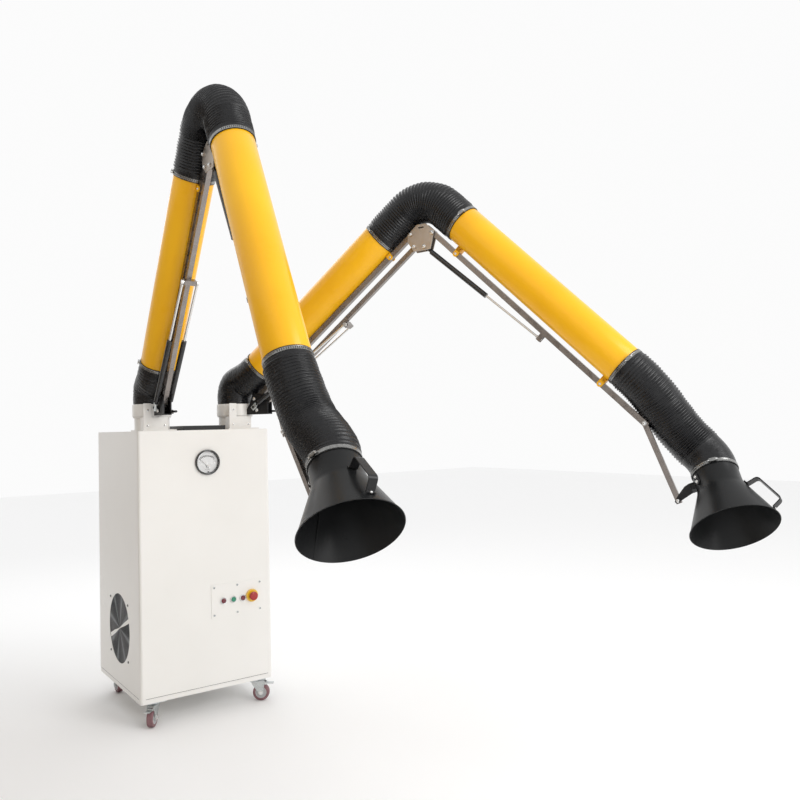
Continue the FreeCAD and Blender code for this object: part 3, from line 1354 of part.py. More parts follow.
def build_arm(side):
    angle = {name: float(getattr(size, f"{side}_{name}"))
             for name in ("heading", "lower", "upper", "wrist", "hood_tilt", "hood_roll")}
    out, up = size.shoulder_out, size.shoulder_up
    arm = FreeCAD.Placement(vector(housing_x[side], size.arm_y, top_level),
                            FreeCAD.Rotation(Z_AXIS, -angle["heading"]))
    lower = frame_at(arm, out, up, angle["lower"])
    parallel = frame_at(arm, out + size.parallel_out, up - size.parallel_down, angle["lower"])
    elbow_spot = turned_point((out, up), angle["lower"], size.lower_bar_long, 0)
    elbow = frame_at(arm, *elbow_spot, 0)
    knee_spot = (elbow_spot[0] + float(size.elbow_out), elbow_spot[1] - float(size.elbow_down))
    upper = frame_at(arm, *knee_spot, angle["upper"])
    wrist_spot = turned_point(knee_spot, angle["upper"], size.upper_bar_long + size.fishplate_long, 0)
    wrist = frame_at(arm, *wrist_spot, angle["wrist"])
    knuckle_spot = turned_point(wrist_spot, angle["wrist"], size.wrist_bar_long, 0)
    yoke = frame_at(arm, *knuckle_spot, angle["hood_tilt"])
    hood = yoke.multiply(FreeCAD.Placement(vector(size.yoke_out, 0, size.yoke_up),
                                           FreeCAD.Rotation(X_AXIS, angle["hood_roll"])))

    build_swivel_bracket(side, arm)
    bore = size.pin_radius + size.pin_gap
    long = size.lower_bar_long
    node(f"{side}_lower_bar", square_bar(-size.bar_end, long + size.bar_end, size.bar_side, size.bar_wall,
                                         (0, long), bore, name=f"{side}_lower_bar"), lower)
    arm_tube(f"{side}_lower_tube", size.lower_tube_start, size.lower_tube_long, size.lower_tube_up,
             (size.lower_lug_inset, size.lower_lug_outset), lower)

    head_x = size.lower_spring_head_at - size.parallel_out
    head_z = -(size.lower_spring_head_down - size.parallel_down)
    boss_half = size.lower_spring_side - size.spring_eye_wide / 2 - size.seat_gap
    ear_half = size.lower_spring_side - size.spring_neck_radius - size.seat_gap
    saddle = block((head_x - size.bush_radius, -ear_half, head_z - size.bush_radius),
                   (2 * size.bush_radius, 2 * ear_half, -head_z + size.bush_radius - size.parallel_side / 2))
    boss = rod((head_x, -boss_half, head_z), size.spring_eye_radius / 2, 2 * boss_half, "y")
    node(f"{side}_parallel_bar", square_bar(-size.parallel_end, long + size.parallel_end, size.parallel_side,
                                            size.bar_wall, (0, long), bore, (saddle, boss),
                                            name=f"{side}_parallel_bar"), parallel)

    foot = (float(out + size.spring_foot_out), float(up - size.spring_foot_down))
    link_spot = (out + size.parallel_out, up - size.parallel_down)
    head = turned_point(link_spot, angle["lower"], head_x, head_z)
    swing, reach = spring_frame(foot, head)
    lower_spring = frame_at(arm, *foot, swing)
    sides = (-size.lower_spring_side, size.lower_spring_side)
    node(f"{side}_lower_spring_cylinders", gather(*[spring_body(size.lower_spring_body, y) for y in sides],
                                                  name=f"{side}_lower_spring_cylinders"), lower_spring)
    node(f"{side}_lower_spring_rods", gather(*[spring_rod(size.lower_spring_body, reach, y) for y in sides],
                                             name=f"{side}_lower_spring_rods"), lower_spring)

    build_elbow_plates(side, elbow)

    bar_last = size.upper_bar_long + size.upper_bar_tail
    pivot = size.upper_bar_long + size.fishplate_long
    half = size.bar_side / 2
    small_head_share, wrist_end_share = 0.8, 0.8
    fish_start = size.upper_bar_long - size.fishplate_lap
    fish_long = pivot + size.bush_radius + size.pin_head_tall - fish_start
    thick = size.fishplate_thick
    fishplates = [block((fish_start, start, -half), (fish_long, thick, size.bar_side))
                  for start in (half, -half - thick)]
    wrist_half = half + thick
    pins = [rod((pivot, -wrist_half - size.pin_head_tall, 0), size.wrist_pin_radius,
                2 * (wrist_half + size.pin_head_tall), "y")]
    for start in (-wrist_half - size.pin_head_tall, wrist_half):
        for x in (pivot, size.upper_bar_long, fish_start + size.bush_radius):
            pins.append(rod((x, start, 0), size.pin_head_radius * small_head_share, size.pin_head_tall, "y"))
    ear = size.spring_ear_thick
    eye_half = size.spring_eye_wide / 2 + size.seat_gap
    ear_half = size.spring_neck_radius + size.seat_gap
    ears = [block((size.upper_spring_head_at - size.bush_radius, start,
                   -size.upper_spring_head_down - size.bush_radius),
                  (2 * size.bush_radius, ear, size.upper_spring_head_down + size.bush_radius - half))
            for start in (ear_half, -ear_half - ear)]
    ears += [rod((size.upper_spring_head_at, start, -size.upper_spring_head_down),
                 size.spring_eye_radius / 2, ear_half - eye_half, "y") for start in (eye_half, -ear_half)]
    upper_bar = square_bar(-size.bar_end, bar_last, size.bar_side, size.bar_wall, (0,), bore,
                           (*fishplates, *ears))
    node(f"{side}_upper_bar", join(upper_bar, *pins, name=f"{side}_upper_bar"), upper)
    arm_tube(f"{side}_upper_tube", size.upper_tube_start, size.upper_tube_long, size.upper_tube_up,
             (size.upper_lug_inset, size.upper_lug_outset), upper)

    foot = (elbow_spot[0] + float(size.upper_spring_foot_out),
            elbow_spot[1] - float(size.upper_spring_foot_down))
    head = turned_point(knee_spot, angle["upper"], size.upper_spring_head_at, -size.upper_spring_head_down)
    swing, reach = spring_frame(foot, head)
    upper_spring = frame_at(arm, *foot, swing)
    body = spring_body(size.upper_spring_body, 0)
    body.Label = f"{side}_upper_spring_cylinder"
    body.Placement = upper_spring
    nodes.append(body)
    rod_piece = spring_rod(size.upper_spring_body, reach, 0)
    node(f"{side}_upper_spring_rod", rod_piece, upper_spring)

    node(f"{side}_wrist_bar", square_bar(-size.bar_end, size.wrist_bar_long + size.bar_end * wrist_end_share,
                                         size.wrist_bar_side, size.bar_wall, (0, size.wrist_bar_long),
                                         size.wrist_pin_radius + size.pin_gap,
                                         name=f"{side}_wrist_bar"), wrist)
    build_yoke(side, yoke)
    build_hood(side, hood)
    doc.recompute()
    build_hoses(side, arm, lower, upper, yoke, hood)
    return {"swivel": arm, "shoulder": lower, "parallel": parallel, "lower_spring": lower_spring,
            "elbow_plates": elbow, "elbow": upper, "upper_spring": upper_spring, "wrist": wrist,
            "hood_tilt": yoke, "hood_roll": hood}


build_chassis()
build_shell()
build_door()
build_cartridges()
build_fan()
build_grille()
build_gauge()
build_controls()
build_hardware()
build_tray()
build_casters()
build_base_housings()
pivots = {side: build_arm(side) for side in ("left", "right")}
doc.recompute()

for thing in doc.Objects:
    if "Invalid" in thing.State or "Error" in thing.State:
        raise RuntimeError(f"{thing.Label} failed: {thing.State}")
os.makedirs("parts", exist_ok=True)
for thing in nodes:
    shape = thing.Shape
    if shape.isNull() or not shape.isValid() or not shape.Solids:
        raise RuntimeError(f"{thing.Label} has no valid solid")
    shape.exportStep(f"parts/{thing.Label}.step")
    print(thing.Label, len(shape.Solids), round(shape.Volume / 1000, 1))
for side, joints in pivots.items():
    for joint, frame in joints.items():
        print(side, joint, "at", [round(value, 2) for value in frame.Base],
              "along", [round(value, 4) for value in frame.Rotation.multVec(X_AXIS)])
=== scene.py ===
import bmesh
import bpy
import json
import math
from mathutils import Matrix, Vector, geometry, noise

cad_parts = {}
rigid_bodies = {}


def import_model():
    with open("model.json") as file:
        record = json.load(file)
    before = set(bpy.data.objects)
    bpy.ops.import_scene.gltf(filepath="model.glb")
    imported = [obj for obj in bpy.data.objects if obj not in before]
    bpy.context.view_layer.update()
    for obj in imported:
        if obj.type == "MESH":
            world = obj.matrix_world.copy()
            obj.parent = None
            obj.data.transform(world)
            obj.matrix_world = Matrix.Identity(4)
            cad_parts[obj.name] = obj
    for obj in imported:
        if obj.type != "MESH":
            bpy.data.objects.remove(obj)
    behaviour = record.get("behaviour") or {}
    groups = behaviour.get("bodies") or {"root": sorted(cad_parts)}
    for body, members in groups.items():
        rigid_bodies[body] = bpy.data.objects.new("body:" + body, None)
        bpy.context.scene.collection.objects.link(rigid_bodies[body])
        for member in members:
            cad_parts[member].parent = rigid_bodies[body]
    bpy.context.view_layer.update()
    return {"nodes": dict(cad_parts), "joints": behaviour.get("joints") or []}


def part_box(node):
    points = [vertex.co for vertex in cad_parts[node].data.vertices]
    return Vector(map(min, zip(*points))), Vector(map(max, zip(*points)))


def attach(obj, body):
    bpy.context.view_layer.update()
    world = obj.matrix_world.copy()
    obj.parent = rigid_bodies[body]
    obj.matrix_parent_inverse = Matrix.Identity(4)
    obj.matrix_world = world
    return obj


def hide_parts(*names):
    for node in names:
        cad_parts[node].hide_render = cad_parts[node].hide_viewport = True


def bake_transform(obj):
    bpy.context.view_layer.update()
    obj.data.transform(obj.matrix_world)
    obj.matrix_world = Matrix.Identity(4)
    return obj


for leftover in list(bpy.data.objects):
    bpy.data.objects.remove(leftover)
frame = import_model()
nodes = frame["nodes"]
joints = {joint["name"]: joint for joint in frame["joints"]}
sides = ("left", "right")
upward = Vector((0, 0, 1))
print("frame loaded:", len(nodes), "nodes")


# Shader graph: a wire is a socket that can be reckoned with.
class Wire:
    def __init__(self, graph, socket):
        self.graph, self.socket = graph, socket

    def maths(self, operation, first, second=0):
        return self.graph.add("ShaderNodeMath", {"operation": operation}, {0: first, 1: second})

    def __add__(self, other):
        return self.maths("ADD", self, other)

    def __sub__(self, other):
        return self.maths("SUBTRACT", self, other)

    def __mul__(self, other):
        return self.maths("MULTIPLY", self, other)

    def __rsub__(self, other):
        return self.maths("SUBTRACT", other, self)

    __radd__ = __add__
    __rmul__ = __mul__

    def __pow__(self, other):
        return self.maths("POWER", self, other)


class Finish:
    # A material whose shader takes its constants directly and its varying values from wires.
    def __init__(self, name, **constants):
        self.material = bpy.data.materials.new(name)
        self.material.use_nodes = True
        self.tree = self.material.node_tree
        self.shader = self.tree.nodes["Principled BSDF"]
        for socket, value in constants.items():
            self.shader.inputs[socket.replace("_", " ")].default_value = value

    def add(self, kind, settings, inputs, output=0):
        node = self.tree.nodes.new(kind)
        for name, value in settings.items():
            setattr(node, name, value)
        for name, value in inputs.items():
            if isinstance(value, Wire):
                self.tree.links.new(value.socket, node.inputs[name])
            else:
                node.inputs[name].default_value = value
        return Wire(self, node.outputs[output])

    def place(self, scale=(1, 1, 1), shift=(0, 0, 0)):
        spot = self.add("ShaderNodeTexCoord", {}, {}, output=3)
        return self.add("ShaderNodeMapping", {}, {"Vector": spot, "Scale": scale, "Location": shift})

    def speckle(self, scale, detail=3, stretch=(1, 1, 1), rough=0.5):
        return self.add("ShaderNodeTexNoise", {}, {
            "Vector": self.place(stretch), "Scale": scale, "Detail": detail, "Roughness": rough})

    def ranged(self, wire, low, high, fromLow=0.3, fromHigh=0.7):
        return self.add("ShaderNodeMapRange", {}, {
            "Value": wire, "From Min": fromLow, "From Max": fromHigh, "To Min": low, "To Max": high})

    def mixed(self, factor, first, second):
        first, second = (value if isinstance(value, Wire) else (*value, 1) for value in (first, second))
        return self.add("ShaderNodeMix", {"data_type": "RGBA"}, {0: factor, 6: first, 7: second}, output=2)

    def feed(self, socket, wire):
        self.tree.links.new(wire.socket, self.shader.inputs[socket])

    def bump(self, wire, strength, distance):
        inputs = {"Strength": strength, "Distance": distance, "Height": wire}
        self.feed("Normal", self.add("ShaderNodeBump", {}, inputs))


paint = {"coatRough": 0.12, "grain": 900.0, "grainShare": 0.08, "peelScale": 315.0, "peelDeep": 0.0004}
metal = {"cloud": 9, "lineShare": 0.6, "cloudShare": 0.4, "pits": 160, "pitFrom": 0.62, "pitTo": 0.72,
         "pitTone": 0.45, "smoother": 0.07, "rougher": 0.1, "pitRough": 0.3, "bump": 0.02, "deep": 0.0002}


def painted(name, colour, tint, rough, coat=0.0, peel=0.05, shine=0.5, patch=5.0, roughSpread=0.06):
    # Sprayed or moulded surface: slow drift of tone, fine grain in gloss, orange peel in the coat.
    finish = Finish(name, Specular_IOR_Level=shine, Coat_Weight=coat, Coat_Roughness=paint["coatRough"])
    drift = finish.speckle(patch, detail=4)
    fine = finish.speckle(paint["grain"], detail=2)
    finish.feed("Base Color", finish.mixed(finish.ranged(drift, 0, 1), colour, tint))
    gloss = finish.ranged(drift, rough - roughSpread, rough + roughSpread)
    finish.feed("Roughness", gloss + (fine - 0.5) * paint["grainShare"])
    finish.bump(finish.speckle(paint["peelScale"], detail=1), peel, paint["peelDeep"])
    return finish.material


def brushed(name, colour, tint, rough, stretch, scale=9.0, spots=0.25):
    # Bare or plated metal: long draw lines, cloudy plating and small spots.
    finish = Finish(name, Metallic=1.0)
    lines = finish.speckle(scale, stretch=stretch)
    cloud = finish.speckle(metal["cloud"])
    pits = finish.speckle(metal["pits"], detail=1)
    tone = finish.ranged(lines, 0, metal["lineShare"]) + finish.ranged(cloud, 0, metal["cloudShare"])
    dark = finish.ranged(pits, 0, spots, metal["pitFrom"], metal["pitTo"])
    pitted = tuple(channel * metal["pitTone"] for channel in tint)
    finish.feed("Base Color", finish.mixed(dark, finish.mixed(tone, colour, tint), pitted))
    gloss = finish.ranged(lines, rough - metal["smoother"], rough + metal["rougher"])
    finish.feed("Roughness", gloss + dark * metal["pitRough"])
    finish.bump(lines, metal["bump"], metal["deep"])
    return finish.material


def hoseCloth():
    # Coated hose cloth: nearly black and creased; the crease crests get a lighter colour that is partly wear
    # and partly painted sheen.
    look = {"black": (0.003, 0.003, 0.004), "wornAndSheen": (0.019, 0.020, 0.023), "rough": 0.27, "creases": 80,
            "clouds": 11, "bump": 0.55, "deep": 0.0016}
    finish = Finish("hoseCloth", Specular_IOR_Level=0.42)
    folds = finish.speckle(look["creases"], detail=6, stretch=(1, 1, 1.6), rough=0.62)
    cloud = finish.speckle(look["clouds"])
    # Lighter colour on the crease crests: partly wear, partly painted sheen.
    dustAndSheen = finish.ranged(folds, 0, 0.55, 0.45, 0.75) * finish.ranged(cloud, 0.2, 1)
    finish.feed("Base Color", finish.mixed(dustAndSheen, look["black"], look["wornAndSheen"]))
    finish.feed("Roughness", finish.ranged(folds, look["rough"] - 0.1, look["rough"] + 0.2))
    finish.bump(folds, look["bump"], look["deep"])
    return finish.material


def clearPane():
    glass = {"Base_Color": (0.97, 0.98, 0.98, 1), "IOR": 1.45, "Transmission_Weight": 1.0, "Alpha": 0.25}
    finish = Finish("clearPane", **glass)
    finish.feed("Roughness", finish.ranged(finish.speckle(60), 0.03, 0.08))
    return finish.material


def pleatCloth():
    finish = Finish("pleatCloth", Sheen_Weight=0.3)
    fibre = finish.speckle(700, detail=6)
    tone = finish.ranged(fibre, 0, 1)
    finish.feed("Base Color", finish.mixed(tone, (0.72, 0.71, 0.66), (0.85, 0.84, 0.80)))
    finish.feed("Roughness", finish.ranged(fibre, 0.8, 0.95))
    finish.bump(fibre, 0.4, 0.0005)
    return finish.material


whitePaint = painted("whitePaint", (0.80, 0.785, 0.75), (0.845, 0.83, 0.80), 0.34, coat=0.25, peel=0.04,
                     patch=2.2)
yellowPaint = painted("yellowPaint", (0.93, 0.46, 0.008), (0.98, 0.53, 0.012), 0.30, coat=0.12, shine=0.3,
                      patch=3)
hoodPaint = painted("hoodPaint", (0.009, 0.0095, 0.010), (0.016, 0.0165, 0.017), 0.33, peel=0.12, shine=0.2,
                    patch=7, roughSpread=0.08)
blackPaint = painted("blackPaint", (0.008, 0.008, 0.009), (0.015, 0.015, 0.016), 0.38, peel=0.10, shine=0.35)
springBlack = painted("springBlack", (0.008, 0.008, 0.009), (0.016, 0.016, 0.017), 0.18, coat=0.4, peel=0.02)
darkPlastic = painted("darkPlastic", (0.016, 0.017, 0.017), (0.03, 0.03, 0.031), 0.32, peel=0.06)
redPlastic = painted("redPlastic", (0.343, 0.0119, 0.0106), (0.396, 0.0198, 0.0158), 0.28, coat=0.3,
                     peel=0.03)
darkRedLens = painted("darkRedLens", (0.12, 0.0024, 0.0108), (0.162, 0.0048, 0.018), 0.16, coat=0.6,
                      peel=0.01)
greenLens = painted("greenLens", (0.012, 0.20, 0.11), (0.02, 0.27, 0.15), 0.2, coat=0.5, peel=0.01)
yellowPlastic = painted("yellowPlastic", (0.86, 0.50, 0.02), (0.92, 0.58, 0.04), 0.35, coat=0.2, peel=0.03)
dialWhite = painted("dialWhite", (0.80, 0.80, 0.80), (0.86, 0.86, 0.86), 0.45, peel=0.01)
inkBlack = painted("inkBlack", (0.01, 0.01, 0.01), (0.02, 0.02, 0.02), 0.5, peel=0.01)
casterRubber = painted("casterRubber", (0.17, 0.075, 0.085), (0.25, 0.13, 0.14), 0.5, peel=0.2, patch=30)
casterHub = painted("casterHub", (0.42, 0.42, 0.43), (0.50, 0.50, 0.50), 0.45)
motorGrey = painted("motorGrey", (0.07, 0.09, 0.12), (0.10, 0.12, 0.15), 0.42, peel=0.15)
platedSteel = brushed("platedSteel", (0.24, 0.215, 0.20), (0.34, 0.31, 0.29), 0.28,
                      stretch=(6, 6, 6), scale=5, spots=0.03)
plateBeige = brushed("plateBeige", (0.48, 0.425, 0.365), (0.57, 0.51, 0.45), 0.42,
                     stretch=(8, 8, 8), scale=6, spots=0.04)
zincSteel = brushed("zincSteel", (0.50, 0.53, 0.53), (0.66, 0.68, 0.68), 0.30, stretch=(10, 10, 10), scale=22)
brightSteel = brushed("brightSteel", (0.72, 0.72, 0.71), (0.85, 0.85, 0.84), 0.16,
                      stretch=(20, 20, 3), spots=0.1)
clampSteel = brushed("clampSteel", (0.20, 0.20, 0.195), (0.38, 0.38, 0.37), 0.24, stretch=(20, 20, 20))
hoseFabric = hoseCloth()
paneGlass = clearPane()
pleats = pleatCloth()
print("finishes ready")


def columned(*columns):
    return Matrix([[column[row] for column in columns] for row in range(3)] + [[0, 0, 0, 1]])


# A place is an origin with x, y and z directions.
class Place:
    def __init__(self, origin, x, y):
        self.origin = Vector(origin)
        self.x = Vector(x).normalized()
        self.y = (Vector(y) - self.x * Vector(y).dot(self.x)).normalized()
        self.z = self.x.cross(self.y)
        self.matrix = columned(self.x, self.y, self.z, self.origin)

    def at(self, x, y=0, z=0):
        return self.matrix @ Vector((x, y, z))

    def moved(self, x, y=0, z=0):
        return Place(self.at(x, y, z), self.x, self.y)

    def rolled(self, degrees):
        angle = math.radians(degrees)
        return Place(self.origin, self.x, self.y * math.cos(angle) + self.z * math.sin(angle))


def facing(origin, axis, hint=(0, 0, 1)):
    # A place whose z is the axis.
    z = Vector(axis).normalized()
    aside = Vector(hint) if abs(Vector(hint).dot(z)) < 0.9 else Vector((1, 0, 0))
    x = (aside - z * aside.dot(z)).normalized()
    return Place(origin, x, z.cross(x))


class Shape:
    # Loose vertices and faces that build up into one piece.
    def __init__(self, spots=(), faces=()):
        self.spots = [Vector(spot) for spot in spots]
        self.faces = [tuple(face) for face in faces]

    def __add__(self, other):
        shift = len(self.spots)
        faces = self.faces + [tuple(index + shift for index in face) for face in other.faces]
        return Shape(self.spots + other.spots, faces)

    def put(self, place):
        return Shape([place.matrix @ spot for spot in self.spots], self.faces)

    def stood(self):
        # A plate drawn in x and y, stood up in x and z.
        return Shape([(spot.x, spot.z, spot.y) for spot in self.spots], self.faces)


def gathered(shapes):
    total = Shape()
    for shape in shapes:
        total = total + shape
    return total


def turned(profile, steps=64, closed=False, sweep=360):
    # Revolves (radius, height) pairs about z; radius 0 makes a pole.
    full = sweep == 360
    columns = steps if full else steps + 1
    spots, rows = [], []
    for radius, height in profile:
        if radius < 1e-7:
            spots.append((0, 0, height))
            rows.append([len(spots) - 1] * columns)
        else:
            start = len(spots)
            for step in range(columns):
                angle = math.radians(sweep) * step / steps
                spots.append((radius * math.cos(angle), radius * math.sin(angle), height))
            rows.append(list(range(start, start + columns)))
    faces = []
    pairs = list(zip(rows, rows[1:])) + ([(rows[-1], rows[0])] if closed else [])
    for low, high in pairs:
        for step in range(steps):
            after = (step + 1) % columns
            face = []
            for index in (low[step], low[after], high[after], high[step]):
                if index not in face:
                    face.append(index)
            if len(face) > 2:
                faces.append(face)
    return Shape(spots, faces)


def slab(outline, low, high, inset=0.0006):
    # A flat plate from an outline in x and y, its edges broken by a small inset.
    def shrunk(amount):
        middle = sum((Vector(spot) for spot in outline), Vector((0, 0))) / len(outline)
        return [Vector(spot) + (middle - Vector(spot)).normalized() * amount for spot in outline]

    levels = ((shrunk(inset), low), (outline, low + inset), (outline, high - inset), (shrunk(inset), high))
    count = len(outline)
    spots = [(spot[0], spot[1], level) for ring, level in levels for spot in ring]
    faces = [tuple(reversed(range(count))), tuple(range(3 * count, 4 * count))]
    for ring in range(3):
        for step in range(count):
            after = (step + 1) % count
            faces.append((ring * count + step, ring * count + after,
                          (ring + 1) * count + after, (ring + 1) * count + step))
    return Shape(spots, faces)


def rod(radius, low, high, steps=24):
    return turned([(0, low), (radius, low), (radius, high), (0, high)], steps)


def spun(angle, origin=(0, 0, 0)):
    # A place whose x points along the angle in the plane of x and y.
    return Place(origin, (math.cos(angle), math.sin(angle), 0), (-math.sin(angle), math.cos(angle), 0))


def circleOutline(radius, steps=24, centre=(0, 0), start=0.0, sweep=360.0):
    last = steps if sweep == 360 else steps + 1
    angles = [math.radians(start + sweep * step / steps) for step in range(last)]
    return [(centre[0] + radius * math.cos(angle), centre[1] + radius * math.sin(angle)) for angle in angles]


def brick(low, high, inset=0.0006):
    outline = [(low[0], low[1]), (high[0], low[1]), (high[0], high[1]), (low[0], high[1])]
    return slab(outline, low[2], high[2], inset)


def swept(places, outline, closed=False):
    # Carries an outline in y and z along a row of places.
    count = len(outline)
    spots = [place.at(0, y, z) for place in places for y, z in outline]
    faces = []
    rings = list(range(len(places)))
    pairs = list(zip(rings, rings[1:])) + ([(rings[-1], 0)] if closed else [])
    for low, high in pairs:
        for step in range(count):
            after = (step + 1) % count
            faces.append((low * count + step, low * count + after,
                          high * count + after, high * count + step))
    if not closed:
        faces.append(tuple(reversed(range(count))))
        faces.append(tuple(range((len(places) - 1) * count, len(places) * count)))
    return Shape(spots, faces)


def piece(name, shape, finish, body=None, stands=(), angle=32):
    mesh = bpy.data.meshes.new(name)
    mesh.from_pydata([tuple(spot) for spot in shape.spots], [], shape.faces)
    work = bmesh.new()
    work.from_mesh(mesh)
    bmesh.ops.recalc_face_normals(work, faces=work.faces)
    work.to_mesh(mesh)
    work.free()
    mesh.polygons.foreach_set("use_smooth", [True] * len(mesh.polygons))
    mesh.set_sharp_from_angle(angle=math.radians(angle))
    mesh.materials.append(finish)
    thing = bpy.data.objects.new(name, mesh)
    bpy.context.scene.collection.objects.link(thing)
    if body:
        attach(thing, body)
    if stands:
        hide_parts(*stands)
    return thing


def domeHead(radius, tall, crown=0.45):
    # A round screw head standing on z 0, and a flat dark cross on its crown as painted shade for the cross
    # recess.
    profile = [(0, 0), (radius, 0), (radius, tall * (1 - crown))]
    for step in range(1, 6):
        angle = math.radians(90 * step / 6)
        profile.append((radius * math.cos(angle), tall * (1 - crown + crown * math.sin(angle))))
    profile.append((0, tall))
    arm, wide = radius * 0.62, radius * 0.13
    # The cross sits proud of the crown; its dark colour is painted shade for the recess.
    cross = gathered([brick((-arm, -wide, tall * 0.98), (arm, wide, tall * 1.02), 0.00002),
                      brick((-wide, -arm, tall * 0.98), (wide, arm, tall * 1.02), 0.00002)])
    return turned(profile, 28), cross


def screwRow(name, seats, radius, tall, finish):
    # Screw heads on their places, and the painted shade of the cross recesses on them.
    head, cross = domeHead(radius, tall)
    piece(f"{name}_screw_heads", gathered([head.put(seat) for seat in seats]), finish, "cabinet")
    piece(f"{name}_screw_recess_shade", gathered([cross.put(seat) for seat in seats]), inkBlack, "cabinet")


def hexHead(across, tall):
    # A hexagon bolt head on its washer, standing on z 0.
    ring = circleOutline(across / math.sqrt(3), 6)
    return rod(across * 0.78, 0, tall * 0.18, 32) + slab(ring, tall * 0.18, tall, across * 0.06)


def capHead(radius, tall):
    # A polished domed nut or socket cap, standing on z 0.
    profile = [(0, 0), (radius * 1.25, 0), (radius * 1.25, tall * 0.16), (radius, tall * 0.18)]
    for step in range(0, 7):
        angle = math.radians(90 * step / 7)
        profile.append((radius * math.cos(angle), tall * (0.45 + 0.55 * math.sin(angle))))
    profile.append((0, tall))
    return turned(profile, 28)


# Camera, floor and lights.
photo = {"focal": 783.7, "size": 800, "yaw": 35.59, "pitch": 1.91, "roll": -1.31,
         "stand": (-1.3471, -3.7101, 1.2647)}


def setCamera():
    yaw, pitch, roll = (math.radians(photo[key]) for key in ("yaw", "pitch", "roll"))
    look = Vector((math.sin(yaw) * math.cos(pitch), math.cos(yaw) * math.cos(pitch), math.sin(pitch)))
    right = Vector((math.cos(yaw), -math.sin(yaw), 0))
    over = right.cross(look)
    rolledRight = right * math.cos(roll) + over * math.sin(roll)
    rolledOver = over * math.cos(roll) - right * math.sin(roll)
    lens = bpy.data.cameras.new("photoCamera")
    lens.sensor_width = 36
    lens.lens = photo["focal"] / photo["size"] * lens.sensor_width
    lens.clip_end = 60
    camera = bpy.data.objects.new("photoCamera", lens)
    camera.matrix_world = columned(rolledRight, rolledOver, -look, Vector(photo["stand"]))
    bpy.context.scene.collection.objects.link(camera)
    bpy.context.scene.camera = camera


studio = {
    "floorTone": (0.93, 0.93, 0.93), "floorHalf": 14.0, "sky": 0.97,
    "card": {"x": -1.5, "from": (-2.9, 0.0), "to": (1.3, 2.3), "tone": (0.40, 0.36, 0.32)},
    "lamps": (
        # place, aimed at, size, watts
        ((2.0, -4.8, 3.0), (0.1, -0.6, 1.0), 2.4, 84),
        ((0.5, 2.6, 3.8), (0.2, -0.8, 1.4), 2.4, 24),
    ),
}


def setStudio():
    half = studio["floorHalf"]
    sheet = [(0, 1, 2, 3)]
    floorShape = Shape([(-half, -half, 0), (half, -half, 0), (half, half, 0), (-half, half, 0)], sheet)
    floorFinish = painted("floorPaper", studio["floorTone"], studio["floorTone"], 0.85, peel=0.01)
    piece("floor", floorShape, floorFinish)
    # A dark card beside the cabinet, unseen itself, shades the left flanks.
    card = studio["card"]
    (nearY, lowZ), (farY, highZ) = card["from"], card["to"]
    corners = [(card["x"], y, z) for y, z in ((nearY, lowZ), (farY, lowZ), (farY, highZ), (nearY, highZ))]
    shade = piece("shadeCard", Shape(corners, sheet), painted("cardPaper", card["tone"], card["tone"], 0.9))
    shade.visible_camera = False
    world = bpy.data.worlds.new("softSky")
    world.use_nodes = True
    sky = world.node_tree.nodes["Background"]
    sky.inputs["Color"].default_value = (1, 1, 1, 1)
    sky.inputs["Strength"].default_value = studio["sky"]
    bpy.context.scene.world = world
    for index, (spot, target, wide, power) in enumerate(studio["lamps"]):
        lamp = bpy.data.lights.new(f"softbox{index}", "AREA")
        lamp.size, lamp.energy = wide, power
        thing = bpy.data.objects.new(f"softbox{index}", lamp)
        thing.location = spot
        thing.rotation_euler = (Vector(target) - Vector(spot)).to_track_quat("-Z", "Y").to_euler()
        bpy.context.scene.collection.objects.link(thing)
    bpy.context.scene.view_settings.view_transform = "Standard"


setCamera()
setStudio()
print("camera and studio set")


# The arms' own places, read from the joints.
def spotOf(joint):
    return Vector(joints[joint]["pos_m"])


armRoll = {"left": -10.2, "right": -32.9}
hoodSeat = {"out": 0.154, "up": 0.027}


def armPlaces(side):
    sideways = -Vector(joints[f"{side}_shoulder"]["axis"])
    shoulder, level = spotOf(f"{side}_shoulder"), spotOf(f"{side}_elbow_level")
    elbow, wrist, tilt = (spotOf(f"{side}_{name}") for name in ("elbow_bend", "wrist_bend", "hood_tilt"))
    base = spotOf(f"{side}_arm_swivel")
    base.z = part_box("cabinet_shell")[1].z
    yoke = Place(tilt, joints[f"{side}_hood_roll"]["axis"], sideways)
    return {
        "base": Place(base, sideways.cross(upward), sideways),
        "lower": Place(shoulder, level - shoulder, sideways),
        "upper": Place(elbow, wrist - elbow, sideways),
        "hood": yoke.moved(hoodSeat["out"], 0, hoodSeat["up"]).rolled(armRoll[side]),
    }


places = {side: armPlaces(side) for side in sides}

tube = {"radius": 0.080, "wall": 0.001, "lowerStart": 0.094, "lowerLong": 0.887, "lowerUp": 0.096,
        "upperStart": 0.055, "upperLong": 0.949, "upperUp": 0.109, "lowerLugs": (0.240, 0.936),
        "upperLugs": (0.145, 0.958), "lugLong": 0.024, "cheek": 0.005, "barHalf": 0.011, "under": 0.003}


def tubeEnds(side, name):
    place, start = places[side][name], tube[f"{name}Start"]
    return [place.at(along, 0, tube[f"{name}Up"]) for along in (start, start + tube[f"{name}Long"])]


